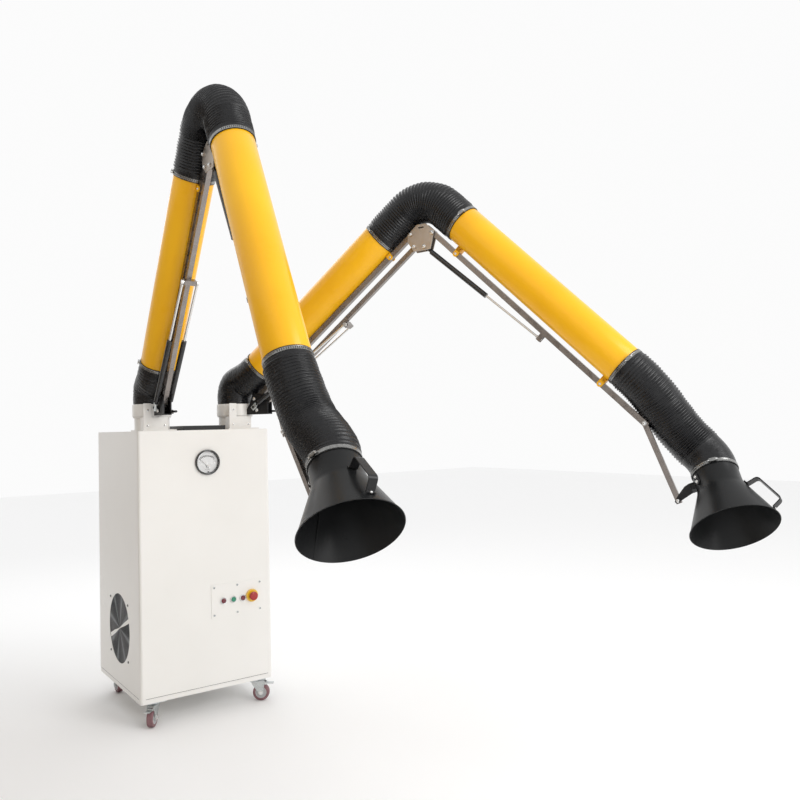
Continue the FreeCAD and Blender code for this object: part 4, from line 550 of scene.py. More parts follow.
def buildTube(side, name):
    # The yellow tube with folded ends, and the saddles that carry it on its bar.
    place = places[side][name]
    start, long, up = tube[f"{name}Start"], tube[f"{name}Long"], tube[f"{name}Up"]
    radius, wall = tube["radius"], tube["wall"]
    inside, folded = radius - wall, radius - wall * 0.3
    barrel = turned([(inside, 0), (folded, 0), (radius, wall * 0.7), (radius, long * 0.25),
                     (radius, long * 0.5), (radius, long * 0.75), (radius, long - wall * 0.7),
                     (folded, long), (inside, long), (inside, long * 0.5)], 128, closed=True)
    shape = barrel.put(facing(place.at(start, 0, up), place.x, place.y))
    half, cheek = tube["barHalf"], tube["cheek"]
    bolts = Shape()
    for x in tube[f"{name}Lugs"]:
        reach = tube["lugLong"] / 2
        top = up - radius + 0.004
        low = -half - tube["under"] + reach
        outline = ([(x - reach, top), (x - reach, low)]
                   + circleOutline(reach, 10, (x, low), 180, 180) + [(x + reach, low), (x + reach, top)])
        for flank in (half, -half - cheek):
            shape = shape + slab(outline, flank, flank + cheek, 0.0008).stood().put(place)
        bridge = brick((x - reach, -half - cheek, half + 0.0004), (x + reach, half + cheek, top), 0.0008)
        shape = shape + bridge.put(place)
        for way in (1, -1):
            seat = facing(place.at(x, way * (half + cheek), low), place.y * way, place.x)
            bolts = bolts + capHead(0.0045, 0.004).put(seat)
    piece(f"{side}_{name}_tube_paint", shape, yellowPaint, f"{side}_{name}_arm", [f"{side}_{name}_tube"], 28)
    piece(f"{side}_{name}_saddle_bolts", bolts, brightSteel, f"{side}_{name}_arm")


for side in sides:
    buildTube(side, "lower")
    buildTube(side, "upper")
print("arm tubes done")


# Hoses follow a path; each ring of the skin is a circle square to it.
class Path:
    def __init__(self, spots):
        self.spots = spots
        self.marks = [0.0]
        for first, last in zip(spots, spots[1:]):
            self.marks.append(self.marks[-1] + (last - first).length)
        self.length = self.marks[-1]

    def at(self, length):
        index = 0
        low, high = 0, len(self.marks) - 2
        while low <= high:
            middle = (low + high) // 2
            if self.marks[middle] <= length:
                index, low = middle, middle + 1
            else:
                high = middle - 1
        span = self.marks[index + 1] - self.marks[index]
        share = min(1.0, max(0.0, (length - self.marks[index]) / span))
        before, after = self.way(index), self.way(index + 1)
        return self.spots[index].lerp(self.spots[index + 1], share), before.lerp(after, share).normalized()

    def way(self, index):
        low, high = max(0, index - 1), min(len(self.spots) - 1, index + 1)
        return (self.spots[high] - self.spots[low]).normalized()


def curvedPath(start, startWay, end, endWay, handle, firstCuff, lastCuff, droop=Vector((0, 0, 0))):
    # A smooth bend between two cuffs; the droop is deepest a little past its middle.
    count = hose["pathSteps"]
    middle = geometry.interpolate_bezier(start, start + startWay * handle, end - endWay * handle, end, count)
    for index, spot in enumerate(middle):
        spot += droop * math.sin(math.pi * (index / (count - 1)) ** hose["droopLate"]) ** 2
    return Path([start - startWay * firstCuff] + middle + [end + endWay * lastCuff])


def bentPath(start, startWay, end, endWay, bend, cuff):
    # Two straight runs with one arc between them.
    turn = startWay.angle(endWay)
    cross = startWay.cross(endWay)
    first = (end - start).cross(endWay).dot(cross) / cross.dot(cross)
    corner = start + startWay * first
    setBack = bend * math.tan(turn / 2)
    inward = (endWay - startWay).normalized()
    centre = corner + inward * (bend / math.cos(turn / 2))
    arm = corner - startWay * setBack - centre
    axis = cross.normalized()
    arc = [centre + Matrix.Rotation(turn * step / 120, 3, axis) @ arm for step in range(121)]
    return Path([start - startWay * cuff] + arc + [end + endWay * cuff])


hose = {"gap": 0.0003, "wall": 0.0016, "cuff": 0.030, "ductCuff": 0.024, "duct": 0.076, "tube": 0.080,
        "sides": 80, "ringsPerRib": 8, "innerRings": 24, "pathSteps": 160, "droopLate": 1.3, "bend": 0.140,
        "lowerHandle": {"left": 0.110, "right": 0.135}, "wristHandle": 0.140, "wristDroop": 0.026,
        "wristCuts": (0.33, 0.80), "lean": 0.008, "ductRise": 0.122, "neckTop": 0.054, "look": 0.01,
        "fade": 0.012, "plainCuff": 0.75, "squeeze": 6, "skin": 0.0006}
ribs = {
    # pitch, rise, how far the cloth sags between the wires, size of the folds
    "lower": (0.0120, 0.0006, 0.0003, 0.0028),
    "elbow": (0.0112, 0.0028, 0.0012, 0.0011),
    "wrist": (0.0112, 0.0028, 0.0012, 0.0013),
}


def hoseSkin(path, steady, bores, cuffs, kind, low, high, seed, smooth=0.0):
    # The stretch of hose from low to high along the path, as a closed sleeve.
    pitch, rise, sag, crumple = ribs[kind]
    ribbedEnd = path.length - cuffs[1]
    ribbed = ribbedEnd - cuffs[0]
    pitch = ribbed / round(ribbed / pitch)
    step = pitch / hose["ringsPerRib"]
    marks = [low]
    while marks[-1] + step * 1.5 < high:
        marks.append(marks[-1] + step)
    marks.append(high)
    sideCount = hose["sides"]
    spots = []

    def ring(length, radiusAt):
        centre, way = path.at(length)
        ahead = path.at(min(path.length, length + hose["look"]))[1]
        behind = path.at(max(0.0, length - hose["look"]))[1]
        inward = ahead - behind
        across = (steady - way * steady.dot(way)).normalized()
        over = way.cross(across)
        for index in range(sideCount):
            angle = 2 * math.pi * index / sideCount
            out = across * math.cos(angle) + over * math.sin(angle)
            inside = max(0.0, out.dot(inward) * hose["squeeze"])
            spots.append(centre + out * radiusAt(length, angle, inside))

    def boreAt(length):
        share = min(1.0, max(0.0, (length - cuffs[0]) / ribbed))
        return bores[0] + (bores[1] - bores[0]) * share

    def outerAt(length, angle, inside):
        base = boreAt(length) + hose["wall"]
        plain = [cuff * hose["plainCuff"] for cuff in cuffs]
        fade = min(1.0, max(0.0, (length - plain[0]) / hose["fade"]))
        fade = min(fade, max(0.0, (path.length - plain[1] - smooth - length) / hose["fade"]))
        phase = (length - cuffs[0]) / pitch - angle / (2 * math.pi)
        crest = (0.5 + 0.5 * math.cos(2 * math.pi * phase)) ** 2
        spot = Vector((math.cos(angle) * 2.2, math.sin(angle) * 2.2, length * 26 + seed))
        fold = noise.noise(spot)
        fine = noise.noise(Vector((math.cos(angle) * 7, math.sin(angle) * 7, length * 90 + seed)))
        lift = rise * crest * (0.85 + 0.5 * fold) - sag * (1 - crest) * (1 + fine)
        cloth = crumple * (0.7 * fold + 0.5 * fine) * (1 - 0.5 * crest)
        return base + hose["skin"] + fade * (sag + crumple * 0.5 + lift + cloth * (1 + inside))

    for length in marks:
        ring(length, outerAt)
    innerMarks = [low + (high - low) * index / hose["innerRings"] for index in range(hose["innerRings"] + 1)]
    for length in reversed(innerMarks):
        ring(length, lambda mark, angle, inside: boreAt(mark))
    rings = len(marks) + len(innerMarks)
    faces = []
    for row in range(rings):
        after = (row + 1) % rings
        for index in range(sideCount):
            beside = (index + 1) % sideCount
            faces.append((row * sideCount + index, row * sideCount + beside,
                          after * sideCount + beside, after * sideCount + index))
    return Shape(spots, faces)


clamp = {"wide": 0.012, "thick": 0.0009, "inset": 0.009, "boxLong": 0.024, "boxWide": 0.013, "boxTall": 0.008,
         "screw": 0.0042, "screwLong": 0.034}


def hoseClamp(name, path, length, steady, bore, body):
    # A worm clamp: rolled band, slotted tail, housing and screw.
    centre, way = path.at(length)
    seat = facing(centre, way, upward - steady * 1.6)
    inner = bore + hose["wall"] + 0.0010
    outer, half = inner + clamp["thick"], clamp["wide"] / 2
    band = turned([(inner, -half), (outer, -half * 0.9), (outer - 0.0003, -half * 0.6),
                   (outer - 0.0003, half * 0.6), (outer, half * 0.9), (inner, half)], 96, closed=True)
    top = outer + clamp["boxTall"]
    housing = brick((outer - 0.001, -clamp["boxLong"] / 2, -clamp["boxWide"] / 2),
                    (top, clamp["boxLong"] / 2, clamp["boxWide"] / 2), 0.0018)
    screwSeat = facing((outer + clamp["boxTall"] * 0.5, -clamp["screwLong"] / 2, 0), (0, 1, 0))
    screw = turned([(0, 0), (clamp["screw"], 0), (clamp["screw"], 0.007), (clamp["screw"] * 0.7, 0.008),
                    (clamp["screw"] * 0.7, clamp["screwLong"]), (0, clamp["screwLong"])], 20)
    slots = Shape()
    for index in range(26):
        angle = math.radians(14 + index * 5)
        slots = slots + brick((outer - 0.0004, -0.0012, -half * 0.55), (outer + 0.0001, 0.0012, half * 0.55),
                              0.00005).put(spun(angle))
    piece(f"{name}_band", (band + housing).put(seat), clampSteel, body)
    piece(f"{name}_screw", screw.put(screwSeat).put(seat), brightSteel, body)
    piece(f"{name}_slots", slots.put(seat), inkBlack, body)


plainEnd = {"left": 0.0, "right": 0.085}


def bendSpan(path, low, high):
    # The stretch between two rings, short of both by as much as they lean to the line that joins them.
    (first, firstWay), (last, lastWay) = path.at(low), path.at(high)
    along = (last - first).normalized()
    reach = hose["tube"] + hose["lean"]
    leans = [reach * math.sin(along.angle(way)) + hose["gap"] for way in (firstWay, lastWay)]
    return first + along * leans[0], last - along * leans[1]


def buildHoses(side):
    base, lower, upper, hood = (places[side][name] for name in ("base", "lower", "upper", "hood"))
    steady, cuff, ductCuff = base.y, hose["cuff"], hose["ductCuff"]
    tubeBore, ductBore = hose["tube"] + hose["gap"], hose["duct"] + hose["gap"]
    (lowerStart, lowerEnd), (upperStart, upperEnd) = tubeEnds(side, "lower"), tubeEnds(side, "upper")
    neck, duct = hood.at(0, 0, hose["neckTop"]), base.at(0, 0, hose["ductRise"])
    arm = lambda name: f"{side}_{name}"

    def skinned(name, kind, low, high, seed, stands=(), bores=(tubeBore, tubeBore), cuffs=(cuff, cuff),
                smooth=0.0):
        # A stretch of skin on the path of the moment.
        skin = hoseSkin(path, steady, bores, cuffs, kind, low, high, seed, smooth)
        return piece(arm(name), skin, hoseFabric, stands=[arm(node) for node in stands], angle=60)

    def clamped(name, atEnd, body):
        spot = path.length - clamp["inset"] if atEnd else clamp["inset"]
        hoseClamp(arm(name), path, spot, steady, tubeBore, arm(body))

    path = curvedPath(duct, upward, lowerStart, lower.x, hose["lowerHandle"][side], ductCuff, cuff)
    sleeve = skinned("lower_hose_skin", "lower", 0, path.length, 3.1, ["lower_hose"], (ductBore, tubeBore),
                     (ductCuff, cuff))
    duct + upward * 0.03
    lowerStart - lower.x * 0.03
    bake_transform(sleeve)
    clamped("lower_hose_clamp", True, "lower_arm")

    path = bentPath(lowerEnd, lower.x, upperStart, upper.x, hose["bend"], cuff)
    middle = path.length / 2
    crown = path.at(middle)[0]
    sleeve = skinned("elbow_hose_rise", "elbow", 0, middle, 11.7, ["elbow_hose"])
    run = crown - lowerEnd
    lowerEnd + run * 0.22
    crown - run * 0.25
    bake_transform(sleeve)
    sleeve = skinned("elbow_hose_fall", "elbow", middle, path.length, 11.7)
    run = upperStart - crown
    crown + run * 0.25
    upperStart - run * 0.22
    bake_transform(sleeve)
    clamped("elbow_hose_first_clamp", False, "lower_arm")
    clamped("elbow_hose_last_clamp", True, "upper_arm")

    droop = upper.z * -hose["wristDroop"]
    path = curvedPath(upperEnd, upper.x, neck, -hood.z, hose["wristHandle"], cuff, cuff, droop)
    cuts = [0] + [path.length * share for share in hose["wristCuts"]] + [path.length]
    bodies = (arm("upper_arm"), arm("wrist"), arm("yoke"), arm("hood"))
    for index, (low, high) in enumerate(zip(cuts, cuts[1:])):
        stands = [] if index else ["wrist_hose"]
        sleeve = skinned(f"wrist_hose_{index + 1}", "wrist", low, high, 23.3, stands, smooth=plainEnd[side])
        start, end = bendSpan(path, max(low, cuff), min(high, path.length - cuff))
        print(f"{side} wrist hose {index + 1}: bends over {(end - start).length:.3f} of {high - low:.3f} m")
        bodies[index + 1]
        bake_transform(sleeve)
    clamped("wrist_hose_first_clamp", False, "upper_arm")
    clamped("wrist_hose_last_clamp", True, "hood")


for side in sides:
    buildHoses(side)
print("hoses done")


hoodSize = {"neck": 0.080, "mouth": 0.151, "neckTop": 0.054, "neckLow": -0.040, "rim": -0.201, "wall": 0.0015,
            "bead": 0.0016, "rise": 0.044, "strapTop": 0.056, "strapBottom": 0.172, "strapThick": 0.004,
            "strapWide": 0.028, "bendRadius": 0.012, "foot": 0.012, "footLift": 0.0026, "slant": 0.006,
            "clipAngle": 222, "clipRound": 0.012, "clipHalf": 0.011, "clipBolt": 0.010, "seamAngle": 200}


def buildHood(side):
    place = places[side]["hood"]
    neck, mouth, wall = hoodSize["neck"], hoodSize["mouth"], hoodSize["wall"]
    top, low, rim, bead = hoodSize["neckTop"], hoodSize["neckLow"], hoodSize["rim"], hoodSize["bead"]
    outer = [(neck, top), (neck, 0.01), (neck, low + 0.006), (neck + bead, low + 0.002),
             (neck + bead, low - 0.002)]
    slope = (mouth - neck) / (low - rim)
    for step in range(1, 9):
        share = step / 8
        outer.append((neck + (mouth - neck) * share, low + (rim - low) * share))
    lip = [(mouth + 0.0016, rim + 0.0010), (mouth + 0.0022, rim - 0.0002), (mouth + 0.0012, rim - 0.0012),
           (mouth - 0.0004, rim - 0.0008)]
    inner = [(mouth - wall, rim + 0.002)]
    for step in range(7, 0, -1):
        share = step / 8
        inner.append((neck - wall + (mouth - neck) * share, low + (rim - low) * share))
    # The neck ends inside the cone as a free edge.
    inner += [(neck - wall + 0.004, low - 0.006), (neck - wall * 0.2, low - 0.010),
              (neck - wall * 2, low - 0.012), (neck - wall * 2.4, low - 0.008), (neck - wall * 2, low),
              (neck - wall, top * 0.5), (neck - wall, top)]
    shell = turned(outer + lip + inner, 144, closed=True)
    seamSpots = [(neck - wall * 1.15 + (mouth - neck) * share, 0, low - 0.012 + (rim - low + 0.014) * share)
                 for share in (0, 0.5, 1)]
    seam = swept([Place(spot, (slope, 0, -1), (0, 1, 0)) for spot in seamSpots],
                 [(-0.004, -0.0006), (-0.0036, 0.0004), (0.0036, 0.0004), (0.004, -0.0006)])
    seam = seam.put(spun(math.radians(hoodSize["seamAngle"])))

    normal = Vector((1, 0, slope)).normalized()
    along = Vector((slope, 0, -1)).normalized()

    def surface(down):
        return Vector((neck + (low + down) * slope, 0, -down)) if down > -low else Vector((neck, 0, -down))

    first, last = surface(hoodSize["strapTop"]), surface(hoodSize["strapBottom"])
    rise, bend, foot = (hoodSize[name] for name in ("rise", "bendRadius", "foot"))
    close, slant = normal * hoodSize["footLift"], along * hoodSize["slant"]
    corners = [first - along * foot + close, first + close, first + normal * rise + slant,
               last + normal * rise - slant, last + close, last + along * foot * 0.8 + close]
    strapPath = []
    for index, corner in enumerate(corners):
        if index in (0, len(corners) - 1):
            strapPath.append(corner)
            continue
        before, after = (corners[index - 1] - corner), (corners[index + 1] - corner)
        reach = min(bend, before.length * 0.4, after.length * 0.4)
        start, end = corner + before.normalized() * reach, corner + after.normalized() * reach
        for step in range(6):
            share = step / 5
            strapPath.append(start.lerp(corner, share).lerp(corner.lerp(end, share), share))
    strap = []
    for index, spot in enumerate(strapPath):
        ahead = strapPath[min(index + 1, len(strapPath) - 1)] - strapPath[max(index - 1, 0)]
        strap.append(Place(spot, ahead, (0, 1, 0)))
    wide, thick, ease = hoodSize["strapWide"] / 2, hoodSize["strapThick"] / 2, 0.0008
    outline = [(-wide, -thick + ease), (-wide + ease, -thick), (wide - ease, -thick), (wide, -thick + ease),
               (wide, thick - ease), (wide - ease, thick), (-wide + ease, thick), (-wide, thick - ease)]
    handle = swept(strap, outline)
    pad = brick((-0.0963, -0.014, -0.014), (-neck + 0.002, 0.014, 0.014), 0.001)
    pinSeat = facing((-0.1035, 0, 0), (1, 0, 0))
    body = f"{side}_hood"
    piece(f"{side}_hood_shell", (shell + seam + pad).put(place), hoodPaint, body, [body], 40)
    piece(f"{side}_hood_handle", handle.put(place), blackPaint, body)
    heads = Shape()
    for spot in (first - along * foot * 0.5, last + along * foot * 0.4):
        heads = heads + capHead(0.0045, 0.005).put(facing(spot + normal * 0.004, normal))
    heads = heads + rod(0.006, 0, 0.014).put(pinSeat)
    heads = heads + hexHead(0.017, 0.007).put(facing((-0.1035, 0, 0), (-1, 0, 0)))
    clip = []
    for way, start in ((1, 0), (-1, 180)):
        clip += circleOutline(hoodSize["clipRound"], 14, (0, hoodSize["clipHalf"] * way), start, 180)
    angle = math.radians(hoodSize["clipAngle"])
    out = Vector((math.cos(angle), math.sin(angle), 0))
    clipSeat = Place(out * (neck + 0.0006) + Vector((0, 0, -0.004)), upward.cross(out), upward)
    piece(f"{side}_hood_clip", slab(clip, -0.004, 0.0032, 0.0006).put(clipSeat).put(place), blackPaint, body)
    for way in (-1, 1):
        heads = heads + capHead(0.0052, 0.0058).put(clipSeat.moved(0, hoodSize["clipBolt"] * way, 0.0032))
    piece(f"{side}_hood_bolts", heads.put(place), brightSteel, body)


# The front of the cabinet; its places look out along -y.
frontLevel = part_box("cabinet_shell")[0].y
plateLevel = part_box("control_plate")[0].y


def onFront(x, z, level):
    return Place((x, level, z), (1, 0, 0), (0, 0, 1))


turret = {"inner": 0.0822, "outer": 0.0846, "top": 0.120, "lip": 0.0806, "head": 0.0048, "headTall": 0.0028,
          "front": 0.088, "screws": ((-0.048, 0.092), (-0.048, 0.024), (0.028, 0.024)), "eyeAside": 0.031}


def buildBase(side):
    # The turret sleeve that turns with the arm and takes in the foot of the hose, and the plate screws.
    base = places[side]["base"]
    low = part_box(f"{side}_swivel_bracket")[0].z - base.origin.z + 0.0002
    inner, outer, top, lip = turret["inner"], turret["outer"], turret["top"], turret["lip"]
    sleeve = turned([(inner, low), (outer, low), (outer, top - 0.003), (outer - 0.0008, top - 0.0008),
                     (outer - 0.002, top), (lip, top - 0.0006), (lip, top - 0.004), (inner, top - 0.006)],
                    112, closed=True)
    piece(f"{side}_turret_sleeve", sleeve.put(base), whitePaint, f"{side}_swivel")
    # The housings are square to the cabinet, whichever way the arm points.
    seats = [onFront(base.origin.x + x, base.origin.z + z, base.origin.y - turret["front"])
             for x, z in turret["screws"]]
    screwRow(f"{side}_base", seats, turret["head"], turret["headTall"], brightSteel)
    eyes = Shape()
    foot = spotOf(f"{side}_lower_spring_turn")
    run = places[side]["lower"].x
    for way in (-1, 1):
        middle = foot + base.y * way * turret["eyeAside"]
        block = brick((-0.013, -0.0105, -0.0068), (0.020, 0.0105, 0.0068), 0.003)
        eyes = eyes + block.put(Place(middle, run, run.cross(base.y)))
    piece(f"{side}_spring_eyes", eyes, zincSteel, f"{side}_lower_cylinders")


for side in sides:
    buildHood(side)
    buildBase(side)
print("hoods done")


dial = {"x": 0.003, "z": 1.122, "bezel": 0.057, "can": 0.050, "deep": 0.036, "face": 0.0483, "pivot": -0.020,
        "scaleLow": 0.046, "scaleHigh": 0.052, "scaleFrom": 45, "scaleTo": 135, "ticks": 50,
        "ink": (-0.0014, -0.0011),
        "dashes": ((-0.011, 0.004), (-0.004, 0.0025), (0.002, 0.004), (0.009, 0.003))}


def buildGauge():
    seat = onFront(dial["x"], dial["z"], frontLevel)
    bezel, can, deep, face = dial["bezel"], dial["can"], dial["deep"], dial["face"]
    ring = turned([(can, -0.001), (can + 0.0005, 0.0085), (can + 0.0010, 0.0115), (can + 0.0028, 0.0121),
                   (bezel - 0.0012, 0.0112), (bezel, 0.0085), (bezel, 0.0005), (bezel - 0.001, 0)],
                  96, closed=True)
    shell = turned([(0, -deep), (can, -deep), (can, 0), (face + 0.0002, 0), (face + 0.0002, -deep + 0.0015),
                    (0, -deep + 0.0015)], 64)
    piece("gauge_case", (ring + shell).put(seat), springBlack, "cabinet", ["pressure_gauge"])
    piece("gauge_dial", rod(face, -0.003, -0.0015, 64).put(seat), dialWhite, "cabinet")
    pivot, (inkLow, inkHigh) = dial["pivot"], dial["ink"]
    marks = Shape()
    for tick in range(dial["ticks"] + 1):
        long = tick % 5 == 0
        low = dial["scaleLow"] - (0.003 if long else 0)
        wide = 0.00045 if long else 0.0002
        angle = math.radians(dial["scaleFrom"] + (dial["scaleTo"] - dial["scaleFrom"]) * tick / dial["ticks"])
        stroke = brick((low, -wide, inkLow), (dial["scaleHigh"], wide, inkHigh), 0.00002)
        marks = marks + stroke.put(spun(angle, (0, pivot, 0)))
    arcs = []
    for radius in (dial["scaleLow"], dial["scaleHigh"] + 0.0012):
        outer = circleOutline(radius + 0.00035, 48, (0, pivot), dial["scaleFrom"], 90)
        inner = circleOutline(radius, 48, (0, pivot), dial["scaleFrom"], 90)
        spots = [(x, y, z) for z in dial["ink"] for x, y in outer + inner]
        count = len(outer)
        faces = []
        for step in range(count - 1):
            a, b, c, d = step, step + 1, count + step + 1, count + step
            top = 2 * count
            faces += [(a, b, c, d), (a + top, b + top, c + top, d + top), (a, b, b + top, a + top),
                      (d, c, c + top, d + top)]
        arcs.append(Shape(spots, faces))
    marks = marks + gathered(arcs)
    for x, wide in dial["dashes"]:
        marks = marks + brick((x, -0.0335, inkLow), (x + wide, -0.0325, inkHigh), 0.00002)
    piece("gauge_scale", marks.put(seat), inkBlack, "cabinet")
    screws = gathered([capHead(0.0019, 0.0012).put(seat.moved(x, 0.002, -0.0015)) for x in (-0.036, 0.036)])
    stud = turned([(0, -0.0015), (0.0015, -0.0015), (0.0015, 0.0042), (0.0030, 0.0045), (0.0026, 0.0058),
                   (0, 0.006)], 24)
    piece("gauge_studs", screws + stud.put(seat.moved(0, pivot)), brightSteel, "cabinet")
    zero = turned([(0, 0.0104), (0.0034, 0.0104), (0.0032, 0.0118), (0.0024, 0.0122), (0, 0.0122)], 24)
    slit = brick((-0.002, -0.0003, 0.0121), (0.002, 0.0003, 0.0124), 0.00005)
    piece("gauge_zero_screw", (zero + slit).put(seat.moved(0, -0.043)), darkPlastic, "cabinet")
    pane = turned([(0, 0.0085), (can + 0.0003, 0.0085), (can + 0.0003, 0.0100), (can * 0.5, 0.0106),
                   (0, 0.0108)], 64)
    piece("gauge_glass", pane.put(seat), paneGlass, "cabinet")


panel = {"z": 0.4925, "lamp": 0.069, "start": 0.117, "stop": 0.163, "emergency": (0.208, 0.4975),
         "screwX": (0.026, 0.13725, 0.2485), "screwZ": (0.432, 0.555)}


def buildControls():
    bezels, lit = Shape(), onFront(panel["lamp"], panel["z"], plateLevel)
    for x in (panel["lamp"], panel["start"], panel["stop"]):
        ring = turned([(0.0113, 0), (0.0155, 0), (0.0155, 0.0048), (0.0146, 0.0064), (0.0130, 0.0067),
                       (0.0118, 0.0060), (0.0113, 0.0045)], 48, closed=True)
        bezels = bezels + ring.put(onFront(x, panel["z"], plateLevel))
    piece("switch_rings", bezels, brightSteel, "cabinet")
    domed = turned([(0.0112, 0.0060), (0.0108, 0.0074), (0.0090, 0.0092), (0.0055, 0.0104), (0, 0.0108)], 40)
    piece("lamp_lens", (domed + turned([(0, 0.0059), (0.0112, 0.0059), (0.0112, 0.0060)], 40)).put(lit),
          darkRedLens, "cabinet")
    for name, finish in (("start", greenLens), ("stop", darkRedLens)):
        cap = turned([(0, -0.025), (0.0045, -0.025), (0.0045, -0.0021), (0.0108, -0.0021), (0.0109, 0.0066),
                      (0.0104, 0.0080), (0.0092, 0.0087), (0.0080, 0.0084), (0, 0.0080)], 48)
        seat, button = onFront(panel[name], panel["z"], plateLevel), f"{name}_button"
        piece(f"{button}_cap", cap.put(seat), finish, button, [button])
    stop = onFront(*panel["emergency"], plateLevel)
    collar = turned([(0.0116, 0), (0.0294, 0), (0.0294, 0.0052), (0.0284, 0.0070), (0.0262, 0.0074),
                     (0.0140, 0.0074), (0.0118, 0.0066)], 72, closed=True)
    piece("emergency_stop_collar", collar.put(stop), yellowPlastic, "cabinet")
    cap = turned([(0, -0.025), (0.0045, -0.025), (0.0045, 0.004), (0.0107, 0.0042), (0.0107, 0.0178),
                  (0.0180, 0.0182), (0.0196, 0.0196), (0.0200, 0.0220), (0.0198, 0.0250), (0.0188, 0.0276),
                  (0.0165, 0.0292), (0.0120, 0.0298), (0.0112, 0.0293), (0.0104, 0.0296), (0, 0.0299)], 72)
    piece("emergency_stop_cap", cap.put(stop), redPlastic, "emergency_stop_button", ["emergency_stop_button"])
    seats = [onFront(x, z, plateLevel) for x in panel["screwX"] for z in panel["screwZ"]]
    screwRow("plate", seats, 0.0052, 0.0030, zincSteel)


exhaust = {"y": -0.0155, "z": 0.373, "half": 0.165, "pitch": 0.0044, "wire": 0.0007, "spanY": 0.1335,
           "spanZ": 0.12475, "wall": -0.3075, "front": -0.3060, "back": -0.3045, "slant": -22,
           # the slanting strip: how far along it, half its width there
           "strip": ((-0.150, 0.010), (-0.075, 0.008), (-0.012, 0.002), (0.012, 0.002), (0.075, 0.007),
                     (0.150, 0.010))}


def exhaustSheet():
    # Dark woven sheet with painted highlights along folds that run out from its middle, and painted shade
    # that swings lighter and darker with the angle round it.
    finish = Finish("exhaustSheet", Metallic=0.75)
    moved = finish.place(shift=(0, -exhaust["y"], -exhaust["z"]))
    aside = finish.add("ShaderNodeSeparateXYZ", {}, {0: moved}, output=1)
    rise = Wire(finish, aside.socket.node.outputs[2])
    turn = aside.maths("ARCTAN2", rise, aside)
    # fold: painted highlights along the folds; shade: painted shade by the angle round the middle.
    fold = turn.maths("ABSOLUTE", turn.maths("SINE", turn * 4 + 0.6)) ** 14
    shade = turn.maths("SINE", turn * 3 + 1.9)
    cloud = finish.speckle(20)
    base = finish.mixed(finish.ranged(shade, 0, 1, -1, 1), (0.045, 0.05, 0.052), (0.15, 0.145, 0.15))
    finish.feed("Base Color", finish.mixed(fold * finish.ranged(cloud, 0.3, 0.9), base, (0.42, 0.44, 0.45)))
    finish.feed("Roughness", finish.ranged(cloud, 0.34, 0.5))
    return finish.material


def buildExhaust():
    half, y, z = exhaust["half"], exhaust["y"], exhaust["z"]
    front, back, wire = exhaust["front"], exhaust["back"], exhaust["wire"]
    sheet = brick((front + 0.0008, y - half, z - half), (back, y + half, z + half), 0.0001)
    strands = Shape()
    count = int(2 * half / exhaust["pitch"])
    for index in range(count + 1):
        offset = -half + 0.001 + index * exhaust["pitch"]
        if abs(offset) > half - wire:
            continue
        for lift, low, high in ((0.0001, (y + offset - wire, z - half), (y + offset + wire, z + half)),
                                (0.0003, (y - half, z + offset - wire), (y + half, z + offset + wire))):
            strands = strands + brick((front + lift, *low), (front + 0.0009, *high), 0.0002)
    finish = exhaustSheet()
    piece("exhaust_sheet", sheet, finish, "cabinet", ["exhaust_grille"])
    piece("exhaust_weave", strands, finish, "cabinet")
    rows, slant = [], math.radians(exhaust["slant"])
    along = Vector((0, -math.cos(slant), math.sin(-slant)))
    across = Vector((1, 0, 0)).cross(along)
    for reach, wide in exhaust["strip"]:
        spot = Vector((front - 0.0003, y, z)) + along * reach
        rows.append([spot + across * wide, spot - across * wide])
    spots = [spot + Vector((depth, 0, 0)) for row in rows for spot in row for depth in (0, 0.0004)]
    faces = []
    for index in range(len(rows) - 1):
        a = index * 4
        faces += [(a, a + 2, a + 6, a + 4), (a + 1, a + 3, a + 7, a + 5), (a, a + 1, a + 5, a + 4),
                  (a + 2, a + 3, a + 7, a + 6)]
    faces += [(0, 1, 3, 2), (len(spots) - 4, len(spots) - 3, len(spots) - 1, len(spots) - 2)]
    piece("exhaust_strip", Shape(spots, faces), whitePaint, "cabinet")
    seats = [facing((exhaust["wall"], y + wayY * exhaust["spanY"], z + wayZ * exhaust["spanZ"]), (-1, 0, 0))
             for wayY in (-1, 1) for wayZ in (-1, 1)]
    screwRow("exhaust", seats, 0.0053, 0.0031, blackPaint)


caster = {"radius": 0.0385, "half": 0.013, "hubHalf": 0.0145, "hub": 0.012, "rim": 0.026, "bore": 0.0052}


def buildWheel(name):
    joint = joints[f"{name}_spin"]
    seat = facing(joint["pos_m"], joint["axis"])
    radius, half, rim, bore = caster["radius"], caster["half"], caster["rim"], caster["bore"]
    hub, hubHalf = caster["hub"], caster["hubHalf"]
    # Each profile is drawn for its lower half and mirrored.
    rubber = [(rim, -half), (radius - 0.004, -half), (radius - 0.0016, -half + 0.0012),
              (radius - 0.0003, -half + 0.004), (radius, -half * 0.3)]
    disc = [(bore, -hubHalf), (hub, -hubHalf), (hub + 0.0006, -half * 0.75), (rim - 0.0035, -half * 0.75),
            (rim - 0.0022, -half), (rim, -half)]
    for part, profile, steps, finish, stands in (("tread", rubber, 96, casterRubber, [name]),
                                                 ("hub", disc, 64, casterHub, ())):
        mirrored = profile + [(wide, -level) for wide, level in reversed(profile)]
        piece(f"{name}_{part}", turned(mirrored, steps, closed=True).put(seat), finish, name, stands)


fork = {"inner": 0.015, "thick": 0.003, "top": 0.0917, "deck": 0.0040, "round": 0.024, "lug": 0.0115,
        "behind": 0.046, "ahead": 0.014, "ear": 0.0027, "earInner": 0.0115}


